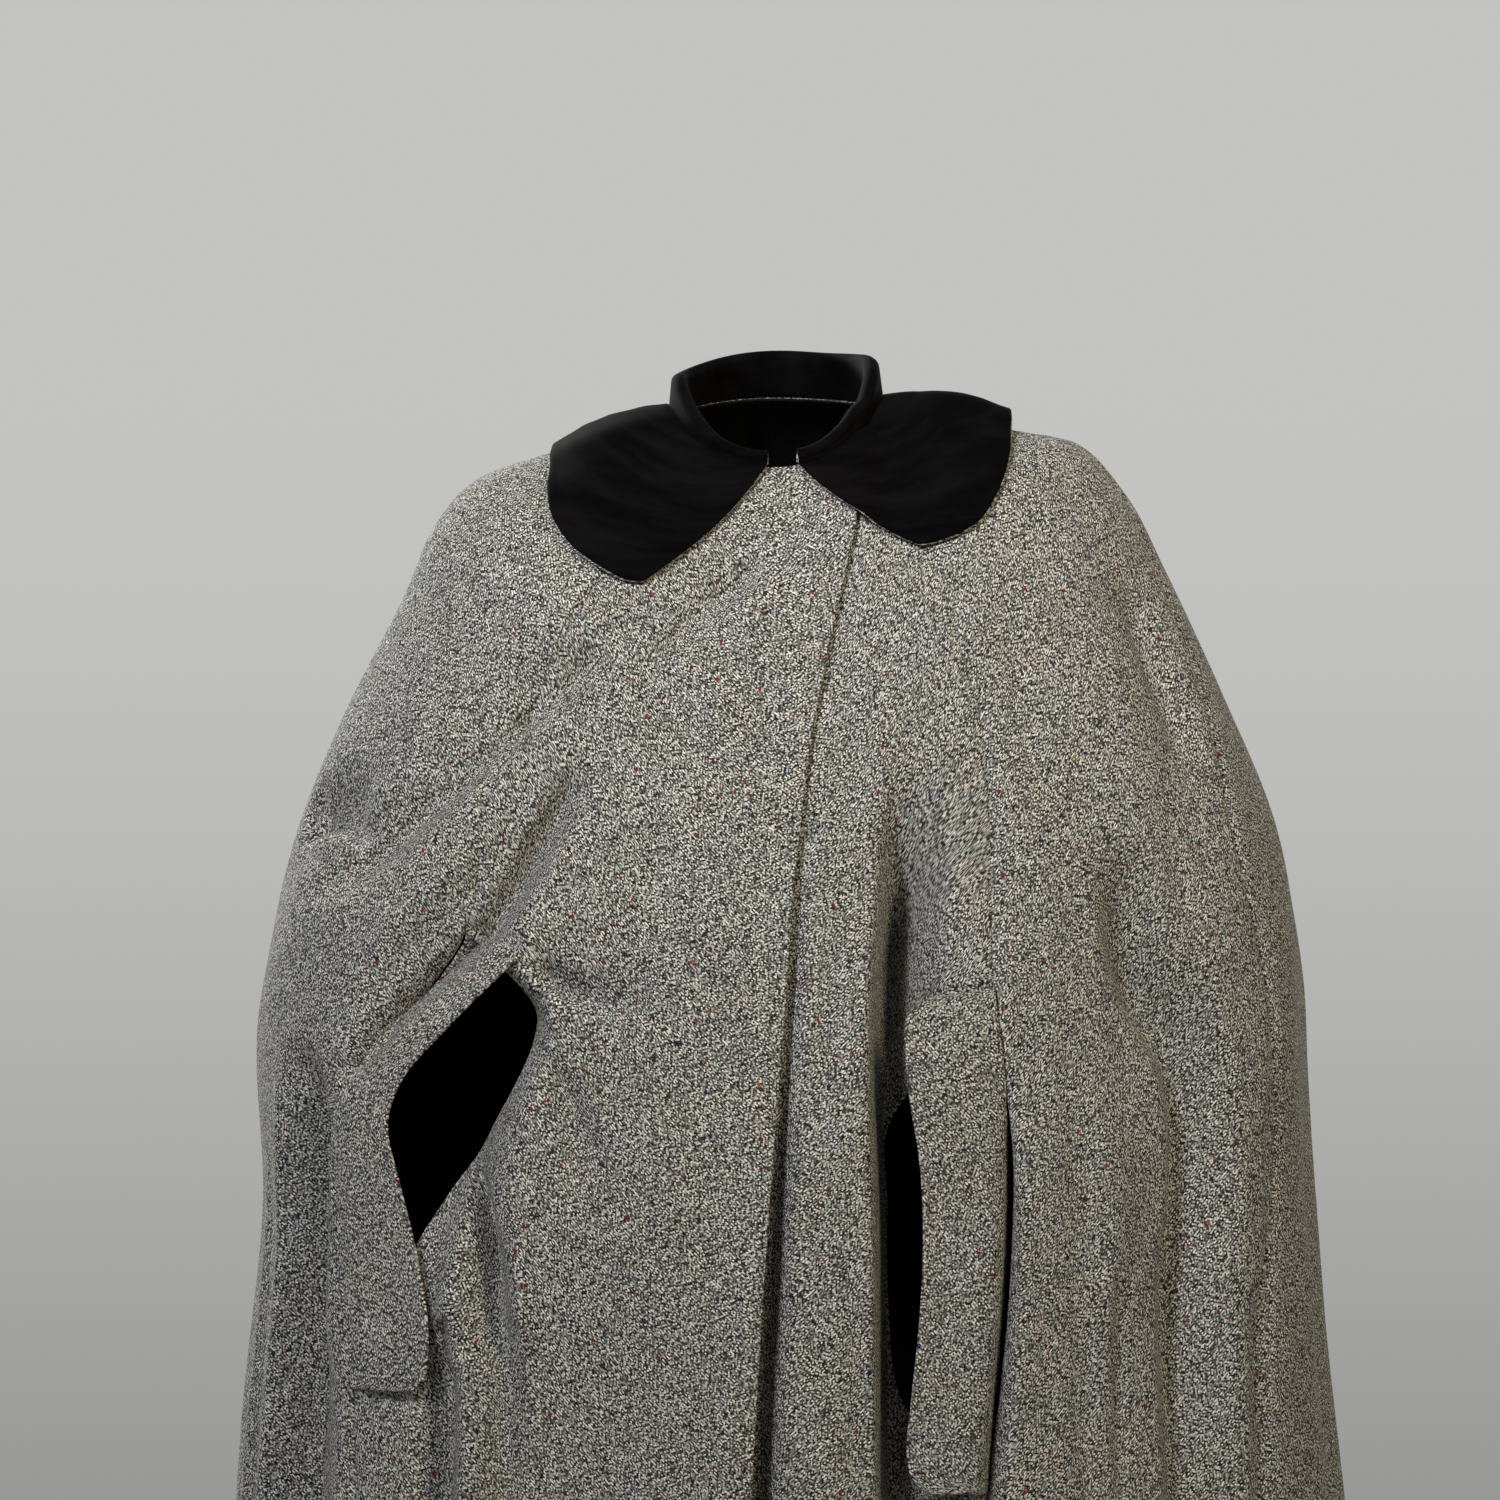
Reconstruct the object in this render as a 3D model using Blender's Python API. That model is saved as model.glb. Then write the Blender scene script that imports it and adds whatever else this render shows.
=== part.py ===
"""Wool cape coat in its worn form: nine pieces of cloth, each one closed wall.

Frame: metres, +Z up. The front of the garment faces -Y and the wearer's left is at +X.
The origin is the middle of the neck base, where the wearer's neck and shoulders hold it.

Every piece is drawn on one cloth surface, whose points are named by two measures:
  bearing  degrees round the body, 0 at the centre front, 90 at the wearer's left, 180 at the back
  drop     metres below the neck seam, measured down the centre front
"""
from collections import namedtuple

import bpy
import numpy as np

# Driving sizes, in metres.
WALL = 0.0024           # wool coating with its turned edges
COLLAR_WALL = 0.0012    # one layer of the collar
SEAM_GAP = 0.0003       # between two pieces sewn edge to edge
LAP_LIFT = 0.0040       # the right front above the left front it laps over
LAP_FADE = 0.040        # over which that lift grows, beyond the edge of the underlap
EDGE_FADE = 0.016       # over which it dies away past the front edge
WELT_LIFT = 0.0029      # a welt above the panel it lies on
NECK_FRONT_Z = -0.028   # height of the neck seam at the centre front
SHOULDER_DROP = 0.160   # drop of the shoulder's edge
LENGTH = 0.972          # drop of the hem

# The body of the cape, ring by ring: heights at both sides and the back, then the half widths
# to the wearer's right and left, the depths to the front and back, and how square the ring is.
Ring = namedtuple("Ring", "drop right_z left_z back_z right left front back square")
RINGS = [
    Ring(0.000, +0.011, +0.015, +0.022, 0.056, 0.058, 0.070, 0.060, 2.00),
    Ring(0.030, -0.005, +0.007, +0.004, 0.091, 0.094, 0.089, 0.084, 2.00),
    Ring(0.065, -0.016, -0.001, -0.023, 0.130, 0.134, 0.108, 0.104, 2.00),
    Ring(0.100, -0.029, -0.009, -0.055, 0.168, 0.172, 0.125, 0.119, 2.05),
    Ring(0.135, -0.052, -0.037, -0.092, 0.191, 0.197, 0.140, 0.130, 2.10),
    Ring(0.180, -0.095, -0.080, -0.137, 0.210, 0.219, 0.157, 0.143, 2.15),
    Ring(0.240, -0.162, -0.150, -0.198, 0.243, 0.252, 0.177, 0.160, 2.20),
    Ring(0.310, -0.235, -0.222, -0.270, 0.272, 0.281, 0.195, 0.180, 2.20),
    Ring(0.390, -0.322, -0.310, -0.352, 0.290, 0.299, 0.210, 0.200, 2.20),
    Ring(0.500, -0.440, -0.430, -0.466, 0.290, 0.307, 0.228, 0.222, 2.20),
    Ring(0.620, -0.570, -0.560, -0.590, 0.304, 0.319, 0.247, 0.246, 2.20),
    Ring(0.800, -0.765, -0.760, -0.778, 0.323, 0.340, 0.278, 0.274, 2.15),
    Ring(0.972, -1.000, -1.000, -1.000, 0.345, 0.364, 0.308, 0.300, 2.10),
]

# Lines on the cloth, as (drop, bearing) from the neck to the hem.
FRONT_EDGE = [(0.000, 40.0), (0.044, 26.8), (0.082, 17.2), (0.126, 10.2), (0.204, 4.2),
              (0.300, 1.2), (0.420, -1.5), (0.544, -3.2), (0.972, -6.0)]
UNDERLAP_EDGE = [(0.000, 0.0), (0.044, -2.0), (0.126, -9.0), (0.300, -13.0), (0.544, -15.0),
                 (0.972, -15.0)]
PRINCESS_RIGHT = [(0.000, -46.0), (0.050, -43.0), (0.104, -42.2), (0.148, -44.2), (0.198, -47.2),
                  (0.240, -48.0), (0.274, -47.0), (0.306, -47.8), (0.340, -52.3), (0.390, -58.3),
                  (0.419, -60.8), (0.466, -59.4), (0.552, -54.7), (0.604, -52.6), (0.972, -46.0)]
PRINCESS_LEFT = [(0.000, 44.0), (0.050, 41.0), (0.086, 39.0), (0.144, 38.2), (0.196, 37.8),
                 (0.246, 35.0), (0.315, 32.4), (0.381, 32.6), (0.420, 32.3), (0.477, 30.5),
                 (0.515, 28.8), (0.559, 26.9), (0.972, 24.0)]
SIDE_SEAM_RIGHT = [(0.000, -90.0), (0.100, -92.0), (0.200, -96.0), (0.400, -100.0),
                   (0.972, -104.0)]
SIDE_SEAM_LEFT = [(0.000, 90.0), (0.100, 86.0), (0.160, 82.0), (0.232, 75.8), (0.292, 70.5),
                  (0.390, 69.5), (0.490, 66.5), (0.540, 62.5), (0.618, 60.0), (0.972, 58.0)]
RIGHT_FLUTE = [(0.000, -34.0), (0.100, -30.0), (0.300, -31.0), (0.420, -33.0), (0.550, -30.0),
               (0.972, -23.0)]
PLEAT_LIP = [(0.000, 33.0), (0.100, 27.0), (0.170, 20.5), (0.260, 15.5), (0.320, 13.6),
             (0.400, 12.8), (0.550, 11.2), (0.972, 9.0)]

# Folds: height above the plain surface (a trough is below it), the half widths toward the
# wearer's right and left, how much wider the far end is, and the shares of the path over
# which the fold comes and goes. The path is (drop, bearing) from top to bottom.
Fold = namedtuple("Fold", "panels height right left spread comes goes path")
CAPE = ("front_right", "front_left", "side_front_right", "side_front_left", "back",
        "welt_right", "welt_left", "collar")
RIGHT_FRONT = ("front_right",)
LEFT_FRONT = ("front_left",)
FRONTS = RIGHT_FRONT + LEFT_FRONT
FOLDS = [
    # drag lines from the neck to the wearer's right arm
    Fold(CAPE, -0.004, 0.020, 0.020, 1.3, 0.4, 0.4, [(0.026, 6.5), (0.078, -20.5), (0.150, -33.2)]),
    Fold(CAPE, -0.007, 0.020, 0.022, 1.4, 0.3, 0.3, [(0.136, -38.0), (0.166, -44.5),
                                                     (0.218, -51.2), (0.290, -63.8),
                                                     (0.322, -76.8)]),
    Fold(CAPE, -0.011, 0.026, 0.032, 1.2, 0.4, 0.3, [(0.214, -39.5), (0.266, -43.5),
                                                     (0.322, -50.2), (0.374, -60.0)]),
    Fold(CAPE, -0.003, 0.022, 0.022, 1.3, 0.4, 0.4, [(0.120, 4.0), (0.156, -5.5),
                                                     (0.194, -14.2)]),
    Fold(RIGHT_FRONT, -0.006, 0.020, 0.030, 1.4, 0.3, 0.6, [(0.304, -38.5), (0.300, -27.0),
                                                            (0.300, -16.5)]),
    # the deep pleat beside the wearer's left slit, and the ridge in front of it
    Fold(LEFT_FRONT, -0.046, 0.013, 0.029, 1.4, 0.3, 0.0, [(0.180, 24.0), (0.260, 19.8),
                                                           (0.320, 17.9), (0.400, 17.6),
                                                           (0.550, 16.2), (1.000, 13.5)]),
    Fold(LEFT_FRONT, +0.009, 0.034, 0.026, 1.4, 0.4, 0.0, [(0.240, 10.5), (0.400, 7.5),
                                                           (0.550, 5.5), (1.000, 2.5)]),
    # the left front sinks under the lapping edge, which stands off it toward the hem
    Fold(LEFT_FRONT, -0.010, 0.060, 0.018, 1.3, 0.4, 0.0, [(0.260, 1.5), (0.420, -1.5),
                                                           (0.544, -3.2), (1.000, -6.0)]),
    Fold(RIGHT_FRONT, +0.006, 0.060, 0.030, 1.4, 0.5, 0.0, [(0.300, 1.2), (0.420, -1.5),
                                                            (0.544, -3.2), (1.000, -6.0)]),
    # flutes of the right front
    Fold(RIGHT_FRONT, +0.008, 0.013, 0.013, 1.8, 0.3, 0.0, [(0.420, -44.0), (0.510, -41.2),
                                                            (0.560, -37.5), (1.000, -32.0)]),
    Fold(RIGHT_FRONT, -0.010, 0.014, 0.022, 1.8, 0.2, 0.0, [(0.420, -39.6), (0.492, -38.0),
                                                            (0.556, -34.0), (1.000, -27.0)]),
    Fold(RIGHT_FRONT, -0.010, 0.014, 0.016, 1.6, 0.2, 0.0, [(0.500, -45.0), (0.560, -42.0),
                                                            (1.000, -37.5)]),
    Fold(FRONTS, -0.008, 0.045, 0.045, 1.5, 0.5, 0.0, [(0.380, -24.0), (0.600, -21.0),
                                                       (1.000, -19.0)]),
    # outside the right welt, below the elbow
    Fold(CAPE, -0.014, 0.024, 0.020, 1.8, 0.2, 0.0, [(0.390, -67.5), (0.432, -66.0),
                                                     (0.524, -64.5), (0.616, -60.5),
                                                     (1.000, -54.0)]),
    # the wearer's left side
    Fold(CAPE, -0.005, 0.034, 0.040, 1.0, 0.4, 0.4, [(0.130, 70.0), (0.194, 67.8),
                                                     (0.262, 64.5), (0.346, 59.5)]),
    Fold(CAPE, -0.010, 0.032, 0.036, 1.7, 0.3, 0.0, [(0.240, 49.0), (0.340, 49.2),
                                                     (0.412, 53.5), (0.484, 51.8),
                                                     (0.598, 47.2), (1.000, 42.0)]),
    Fold(("side_front_left",), +0.004, 0.012, 0.030, 1.0, 0.3, 0.2, [(0.350, 32.5), (0.420, 32.3),
                                                                     (0.477, 30.6),
                                                                     (0.556, 27.2)]),
    Fold(("welt_left",), -0.003, 0.016, 0.010, 1.0, 0.3, 0.2, [(0.350, 32.5), (0.420, 32.0),
                                                               (0.477, 30.2), (0.556, 26.8)]),
    # the back and the hidden side
    Fold(CAPE, -0.016, 0.050, 0.050, 1.5, 0.6, 0.0, [(0.300, 84.0), (0.600, 82.0), (1.000, 78.0)]),
    Fold(CAPE, -0.024, 0.048, 0.055, 1.6, 0.6, 0.0, [(0.260, 112.0), (1.000, 108.0)]),
    Fold(CAPE, -0.022, 0.045, 0.045, 1.5, 0.7, 0.0, [(0.360, 137.0), (1.000, 135.0)]),
    Fold(CAPE, -0.030, 0.052, 0.048, 1.5, 0.6, 0.0, [(0.240, 160.0), (1.000, 163.0)]),
    Fold(CAPE, -0.024, 0.046, 0.050, 1.6, 0.7, 0.0, [(0.340, 189.0), (1.000, 191.0)]),
    Fold(CAPE, -0.029, 0.050, 0.046, 1.5, 0.6, 0.0, [(0.250, 212.0), (1.000, 217.0)]),
    Fold(CAPE, -0.023, 0.045, 0.052, 1.5, 0.7, 0.0, [(0.330, 238.0), (1.000, 243.0)]),
    Fold(CAPE, -0.016, 0.046, 0.044, 1.6, 0.6, 0.0, [(0.380, 264.0), (1.000, 270.0)]),
    Fold(CAPE, -0.012, 0.030, 0.030, 1.8, 0.5, 0.0, [(0.440, -78.0), (1.000, -72.0)]),
]

# Arm slits in the princess seams: the top and bottom, the edge of the front panel, which draws
# back from the seam between them, the free edge of the welt, and the radii of the welt's two
# loose corners. The welt's sewn edge follows the seam from the top to the bottom of the slit.
Slit = namedtuple("Slit", "top bottom drawn_back free top_radius bottom_radius")
SLITS = {
    "right": Slit(0.305, 0.553,
                  [(0.305, -47.8), (0.314, -40.5), (0.335, -37.0), (0.370, -38.0),
                   (0.410, -42.5), (0.450, -46.5), (0.500, -50.0), (0.553, -54.7)],
                  [(0.300, -37.4), (0.357, -46.3), (0.390, -51.0), (0.414, -52.2),
                   (0.441, -49.9), (0.476, -46.5), (0.517, -44.2), (0.538, -44.6)],
                  0.006, 0.008),
    "left": Slit(0.314, 0.563,
                 [(0.314, 32.4), (0.350, 19.0), (0.400, 16.8), (0.450, 16.4), (0.500, 17.5),
                  (0.563, 26.7)],
                 [(0.300, 19.2), (0.350, 19.3), (0.381, 20.1), (0.418, 20.0),
                  (0.461, 19.0), (0.504, 17.3), (0.529, 16.4), (0.552, 16.8)],
                 0.018, 0.014),
}

# Where each front falls back from its welt, within the slit.
RECESSES = {
    "front_right": ("right", Fold(RIGHT_FRONT, -0.050, 0.042, 0.030, 2.4, 0.2, 0.5,
                                  [(0.306, -37.5), (0.335, -41.5), (0.390, -46.5),
                                   (0.440, -48.5), (0.520, -47.0)])),
    "front_left": ("left", Fold(LEFT_FRONT, -0.026, 0.060, 0.080, 1.0, 0.2, 0.2,
                                [(0.318, 31.0), (0.420, 30.0), (0.550, 27.0)])),
}
RECESS_START = 0.020        # below the top of the slit, where a recess is at its full depth

# The collar, station by station round the neck, from the right front tip by way of the back to
# the left front tip: the bearing at the neck, the height of the stand, the drop and bearing of
# the outer edge, how far that edge and the middle of the fall stand off the cape, and the bow
# of the line between neck and edge, in degrees.
# Bearings here count round by the wearer's right, so 90 is the right side and 270 the left.
Station = namedtuple("Station", "neck stand edge_drop edge lift puff bow")
COLLAR = [
    Station(3.0, 0.008, 0.092, 33.5, 0.000, 0.000, 4.0),
    Station(8.0, 0.008, 0.098, 37.2, 0.000, 0.001, 2.5),
    Station(16.0, 0.009, 0.101, 42.5, 0.000, 0.002, 1.0),
    Station(27.0, 0.011, 0.101, 49.5, 0.000, 0.003, 0.0),
    Station(40.0, 0.014, 0.095, 56.0, 0.000, 0.004, 0.0),
    Station(54.0, 0.016, 0.083, 63.0, 0.000, 0.006, 0.0),
    Station(70.0, 0.018, 0.068, 73.0, 0.000, 0.008, 0.0),
    Station(90.0, 0.020, 0.060, 90.0, 0.000, 0.008, 0.0),
    Station(120.0, 0.023, 0.066, 120.0, 0.002, 0.006, 0.0),
    Station(150.0, 0.025, 0.074, 150.0, 0.001, 0.004, 0.0),
    Station(180.0, 0.026, 0.076, 180.0, 0.001, 0.003, 0.0),
    Station(210.0, 0.026, 0.074, 210.0, 0.001, 0.004, 0.0),
    Station(236.0, 0.027, 0.066, 236.0, 0.001, 0.008, 0.0),
    Station(256.0, 0.027, 0.058, 257.0, 0.000, 0.010, 0.0),
    Station(268.0, 0.025, 0.062, 268.0, 0.005, 0.005, 0.0),
    Station(281.0, 0.022, 0.064, 278.0, 0.007, 0.009, 0.0),
    Station(294.0, 0.019, 0.070, 286.0, 0.003, 0.006, 0.0),
    Station(306.0, 0.016, 0.080, 294.5, 0.000, 0.003, 0.0),
    Station(318.0, 0.014, 0.091, 302.5, 0.000, 0.002, 0.0),
    Station(329.0, 0.011, 0.098, 309.0, 0.000, 0.001, 0.0),
    Station(339.0, 0.009, 0.097, 314.0, 0.000, 0.001, -1.0),
    Station(346.0, 0.008, 0.091, 318.5, 0.000, 0.000, -2.5),
    Station(351.0, 0.008, 0.084, 322.0, 0.000, 0.000, -4.0),
]
COLLAR_STATIONS = 40        # rows of faces round the neck
COLLAR_FALL = (0.20, 0.42, 0.64, 0.84, 1.00)   # shares of the fall, roll to edge
ROLL_RADIUS = 0.0035        # of the fold at the top of the stand
STAND_LEAN = 0.45           # inward, as a share of the stand's height
UNDER_RIM = 0.0010          # the under collar beyond the velvet
COLLAR_EASE = 0.0012        # between the cape and the under collar
COLLAR_CLEARANCE = WALL / 2 + COLLAR_EASE + COLLAR_WALL + SEAM_GAP / 2

NODE_LOOKS = {   # colour, roughness
    "wool": ((0.20, 0.195, 0.185), 0.9),
    "welt_wool": ((0.23, 0.225, 0.21), 0.9),
    "velvet": ((0.008, 0.008, 0.009), 0.75),
}


def spline(knots, values, at):
    """Smooth curve through (knots, values), with the slopes of its neighbours at each knot."""
    knots = np.asarray(knots, float)
    values = np.asarray(values, float)
    at = np.asarray(at, float)
    step = np.diff(knots)
    slope = np.diff(values) / step
    inner = (slope[:-1] * step[1:] + slope[1:] * step[:-1]) / (step[1:] + step[:-1])
    tangent = np.concatenate([slope[:1], inner, slope[-1:]])
    i = np.clip(np.searchsorted(knots, at) - 1, 0, len(knots) - 2)
    t = (at - knots[i]) / step[i]
    rise = step[i] * (tangent[i] * t * (1 - t) ** 2 - tangent[i + 1] * t * t * (1 - t))
    return values[i] * (1 + 2 * t) * (1 - t) ** 2 + values[i + 1] * t * t * (3 - 2 * t) + rise


def line(table, drop):
    """Bearing of a (drop, bearing) line at the given drops."""
    drops, bearings = zip(*table)
    return spline(drops, bearings, drop)


def ring(name, drop):
    """One measure of the rings at the given drops."""
    return spline([row.drop for row in RINGS], [getattr(row, name) for row in RINGS], drop)


def smooth(x):
    """0 below 0, 1 above 1 and an even S between."""
    x = np.clip(x, 0.0, 1.0)
    return x * x * (3 - 2 * x)


def reach(bearing, drop):
    """Distance of the plain surface from the upright axis."""
    angle = np.radians(bearing)
    across, ahead = np.sin(angle), np.cos(angle)
    half = np.where(across < 0, ring("right", drop), ring("left", drop))
    deep = np.where(ahead > 0, ring("front", drop), ring("back", drop))
    power = ring("square", drop)
    return (np.abs(across / half) ** power + np.abs(ahead / deep) ** power) ** (-1 / power)


def plain(bearing, drop):
    """Point of the plain surface, before its folds."""
    bearing, drop = np.broadcast_arrays(np.asarray(bearing, float), np.asarray(drop, float))
    angle = np.radians(bearing)
    across, ahead = np.sin(angle), np.cos(angle)
    side_z = np.where(across < 0, ring("right_z", drop), ring("left_z", drop))
    end_z = np.where(ahead > 0, NECK_FRONT_Z - drop, ring("back_z", drop))
    out = reach(bearing, drop)
    return np.stack([out * across, -out * ahead, side_z + (end_z - side_z) * ahead ** 2], -1)


def normal(surface, bearing, drop):
    """Outward unit normal of a surface function, from its two slopes."""
    turn, down = 0.2, 0.0015
    round_it = surface(bearing + turn, drop) - surface(bearing - turn, drop)
    down_it = surface(bearing, drop + down) - surface(bearing, drop - down)
    out = np.cross(down_it, round_it)
    return out / np.linalg.norm(out, axis=-1, keepdims=True)


def fold_height(fold, bearing, drop):
    """Height of one fold: a rounded bell across its path, coming and going along it."""
    drops, bearings = zip(*fold.path)
    share = np.linspace(0, 1, len(fold.path))
    fine = np.linspace(0, 1, 6 * len(fold.path) - 5)
    path_drop, path_bearing = spline(share, drops, fine), spline(share, bearings, fine)
    first = path_bearing[0]
    turned = (bearing - first + 180) % 360 - 180
    path_across = np.radians(path_bearing - first) * reach(path_bearing, path_drop)
    across = np.radians(turned) * reach(bearing, drop)
    nearest = np.full(across.shape, 9.0)
    side = np.zeros(across.shape)
    along = np.zeros(across.shape)
    for i in range(len(fine) - 1):
        run = path_across[i + 1] - path_across[i]
        fall = path_drop[i + 1] - path_drop[i]
        off_across, off_drop = across - path_across[i], drop - path_drop[i]
        part = np.clip((off_across * run + off_drop * fall) / (run * run + fall * fall), 0, 1)
        away = np.hypot(off_across - part * run, off_drop - part * fall)
        closer = away < nearest
        nearest = np.where(closer, away, nearest)
        side = np.where(closer, off_across * fall - off_drop * run, side)
        along = np.where(closer, (i + part) / (len(fine) - 1), along)
    width = np.where(side < 0, fold.right, fold.left) * (1 + (fold.spread - 1) * along)
    bell = 0.5 + 0.5 * np.cos(np.pi * np.clip(nearest / width, 0, 1))
    fade = smooth(along / max(fold.comes, 1e-6)) * smooth((1 - along) / max(fold.goes, 1e-6))
    return fold.height * bell * fade


def lap_lift(bearing, drop):
    """How far the lapping front lies above the one beneath, fading out on both sides."""
    bearing = (bearing + 180) % 360 - 180
    out = reach(bearing, drop)
    from_underlap = np.radians(bearing - line(UNDERLAP_EDGE, drop)) * out
    past_edge = np.radians(bearing - line(FRONT_EDGE, drop)) * out
    return LAP_LIFT * smooth(1 + from_underlap / LAP_FADE) * smooth(1 - past_edge / EDGE_FADE)


def cloth(panel):
    """Surface function of the middle of one panel's cloth, folds and laps included."""
    def surface(bearing, drop):
        bearing, drop = np.broadcast_arrays(np.asarray(bearing, float), np.asarray(drop, float))
        rise = np.zeros(bearing.shape)
        for fold in FOLDS:
            if panel in fold.panels:
                rise = rise + fold_height(fold, bearing, drop)
        if panel in RECESSES:
            side, recess = RECESSES[panel]
            opened = smooth((drop - SLITS[side].top) / RECESS_START) ** 2
            rise = rise + fold_height(recess, bearing, drop) * opened
        if panel in ("front_right", "collar"):
            rise = rise + lap_lift(bearing, drop)
        return plain(bearing, drop) + rise[..., None] * normal(plain, bearing, drop)
    return surface


def add_wall(name, look, outer, inner):
    """One closed solid between two grids of points that match row by row."""
    rows, columns = outer.shape[:2]
    points = np.concatenate([outer.reshape(-1, 3), inner.reshape(-1, 3)])
    back = rows * columns
    faces = []
    for i in range(rows - 1):
        for j in range(columns - 1):
            a, b = i * columns + j, i * columns + j + 1
            c, d = b + columns, a + columns
            faces.append((a, d, c, b))
            faces.append((back + a, back + b, back + c, back + d))
    for j in range(columns - 1):
        low = (rows - 1) * columns + j
        faces.append((j, j + 1, back + j + 1, back + j))
        faces.append((low + 1, low, back + low, back + low + 1))
    # the two side rims are split along like diagonals, so that rims facing across a seam match
    for i in range(rows - 1):
        a, c = i * columns, (i + 1) * columns
        b, d = a + columns - 1, c + columns - 1
        faces.extend([(c, a, back + c), (a, back + a, back + c)])
        faces.extend([(b, d, back + d), (b, back + d, back + b)])
    mesh = bpy.data.meshes.new(name)
    mesh.from_pydata(points.tolist(), [], faces)
    mesh.shade_smooth()
    mesh.set_sharp_from_angle(angle=np.radians(50))
    mesh.materials.append(look)
    part = bpy.data.objects.new(name, mesh)
    bpy.context.collection.objects.link(part)
    return part


def material(name):
    """A matt material of the given look."""
    colour, roughness = NODE_LOOKS[name]
    look = bpy.data.materials.new(name)
    look.use_nodes = True
    shader = look.node_tree.nodes["Principled BSDF"]
    shader.inputs["Base Color"].default_value = (*colour, 1.0)
    shader.inputs["Roughness"].default_value = roughness
    shader.inputs["Metallic"].default_value = 0.0
    return look


def row_drops():
    """Drops of the rows that every panel shares, with one at each end of both slits."""
    tops = [SLITS["right"].top, SLITS["left"].top]
    bottoms = [SLITS["right"].bottom, SLITS["left"].bottom]
    stretches = [(0.0, SHOULDER_DROP, 8), (SHOULDER_DROP, tops[0], 5), (*tops, 1),
                 (tops[1], bottoms[0], 7), (*bottoms, 1), (bottoms[1], LENGTH, 6)]
    rows = [np.linspace(start, end, count + 1)[:-1] for start, end, count in stretches]
    return np.append(np.concatenate(rows), LENGTH)


def drawn_back(side, drop, seam):
    """The front panel's edge: the seam above and below the slit, drawn back within it."""
    slit = SLITS[side]
    within = (drop > slit.top + SEAM_GAP) & (drop < slit.bottom - SEAM_GAP)
    return np.where(within, line(slit.drawn_back, drop), seam)


def degree_length(bearing, drop):
    """Length of one degree of turn on the plain surface."""
    ahead, behind = plain(bearing + 0.5, drop), plain(bearing - 0.5, drop)
    return np.linalg.norm(ahead - behind, axis=-1)


def add_panel(name, look, guides, slit_side=None):
    """A panel between guide lines, with the given number of columns after each guide."""
    surface = cloth(name)
    drops = row_drops()
    edges = [line(table, drops) for table, _ in guides]
    edges[0] = edges[0] + SEAM_GAP / 2 / degree_length(edges[0], drops)
    edges[-1] = edges[-1] - SEAM_GAP / 2 / degree_length(edges[-1], drops)
    if slit_side:
        seam = 0 if slit_side == "right" else -1
        edges[seam] = drawn_back(slit_side, drops, edges[seam])
    bearings = [edges[0][:, None]]
    for i, (_, count) in enumerate(guides[:-1]):
        share = np.linspace(0, 1, count + 1)[1:]
        bearings.append(edges[i][:, None] * (1 - share) + edges[i + 1][:, None] * share)
    bearings = np.concatenate(bearings, axis=1)
    rows = np.broadcast_to(drops[:, None], bearings.shape)
    middle = surface(bearings, rows)
    out = normal(surface, bearings, rows)
    return add_wall(name, look, middle + out * WALL / 2, middle - out * WALL / 2)


def add_welt(side, look):
    """The wide welt of an arm slit: sewn along the princess seam, loose toward the front."""
    name = "welt_" + side
    slit = SLITS[side]
    seam = PRINCESS_RIGHT if side == "right" else PRINCESS_LEFT
    length = slit.bottom - slit.top
    share = np.concatenate([[0, 0.02], np.linspace(0.06, 0.94, 12), [0.98, 1]])
    sewn_drop = slit.top + length * share
    free_drop = slit.free[0][0] + (slit.free[-1][0] - slit.free[0][0]) * share
    free = line(slit.free, free_drop)
    sewn = line(seam, sewn_drop)
    inset = 1.5 * SEAM_GAP / degree_length(sewn, sewn_drop)
    sewn = sewn + (inset if side == "right" else -inset)
    wide = np.abs(free - sewn) * degree_length(free, free_drop)
    top = np.clip(1 - share * length / slit.top_radius, 0, 1)
    bottom = np.clip(1 - (1 - share) * length / slit.bottom_radius, 0, 1)
    cut = (slit.top_radius * (1 - np.sqrt(1 - top ** 2))
           + slit.bottom_radius * (1 - np.sqrt(1 - bottom ** 2)))
    across = np.linspace(0, 1, 6)[None, :] * (1 - cut / wide)[:, None]
    bearings = sewn[:, None] * (1 - across) + free[:, None] * across
    drops = sewn_drop[:, None] * (1 - across) + free_drop[:, None] * across
    surface = cloth(name)
    middle = surface(bearings, drops)
    out = normal(surface, bearings, drops)
    low, high = middle + out * (WELT_LIFT - WALL / 2), middle + out * (WELT_LIFT + WALL / 2)
    if side == "left":
        low, high = low[:, ::-1], high[:, ::-1]
    return add_wall(name, look, high, low)


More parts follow.
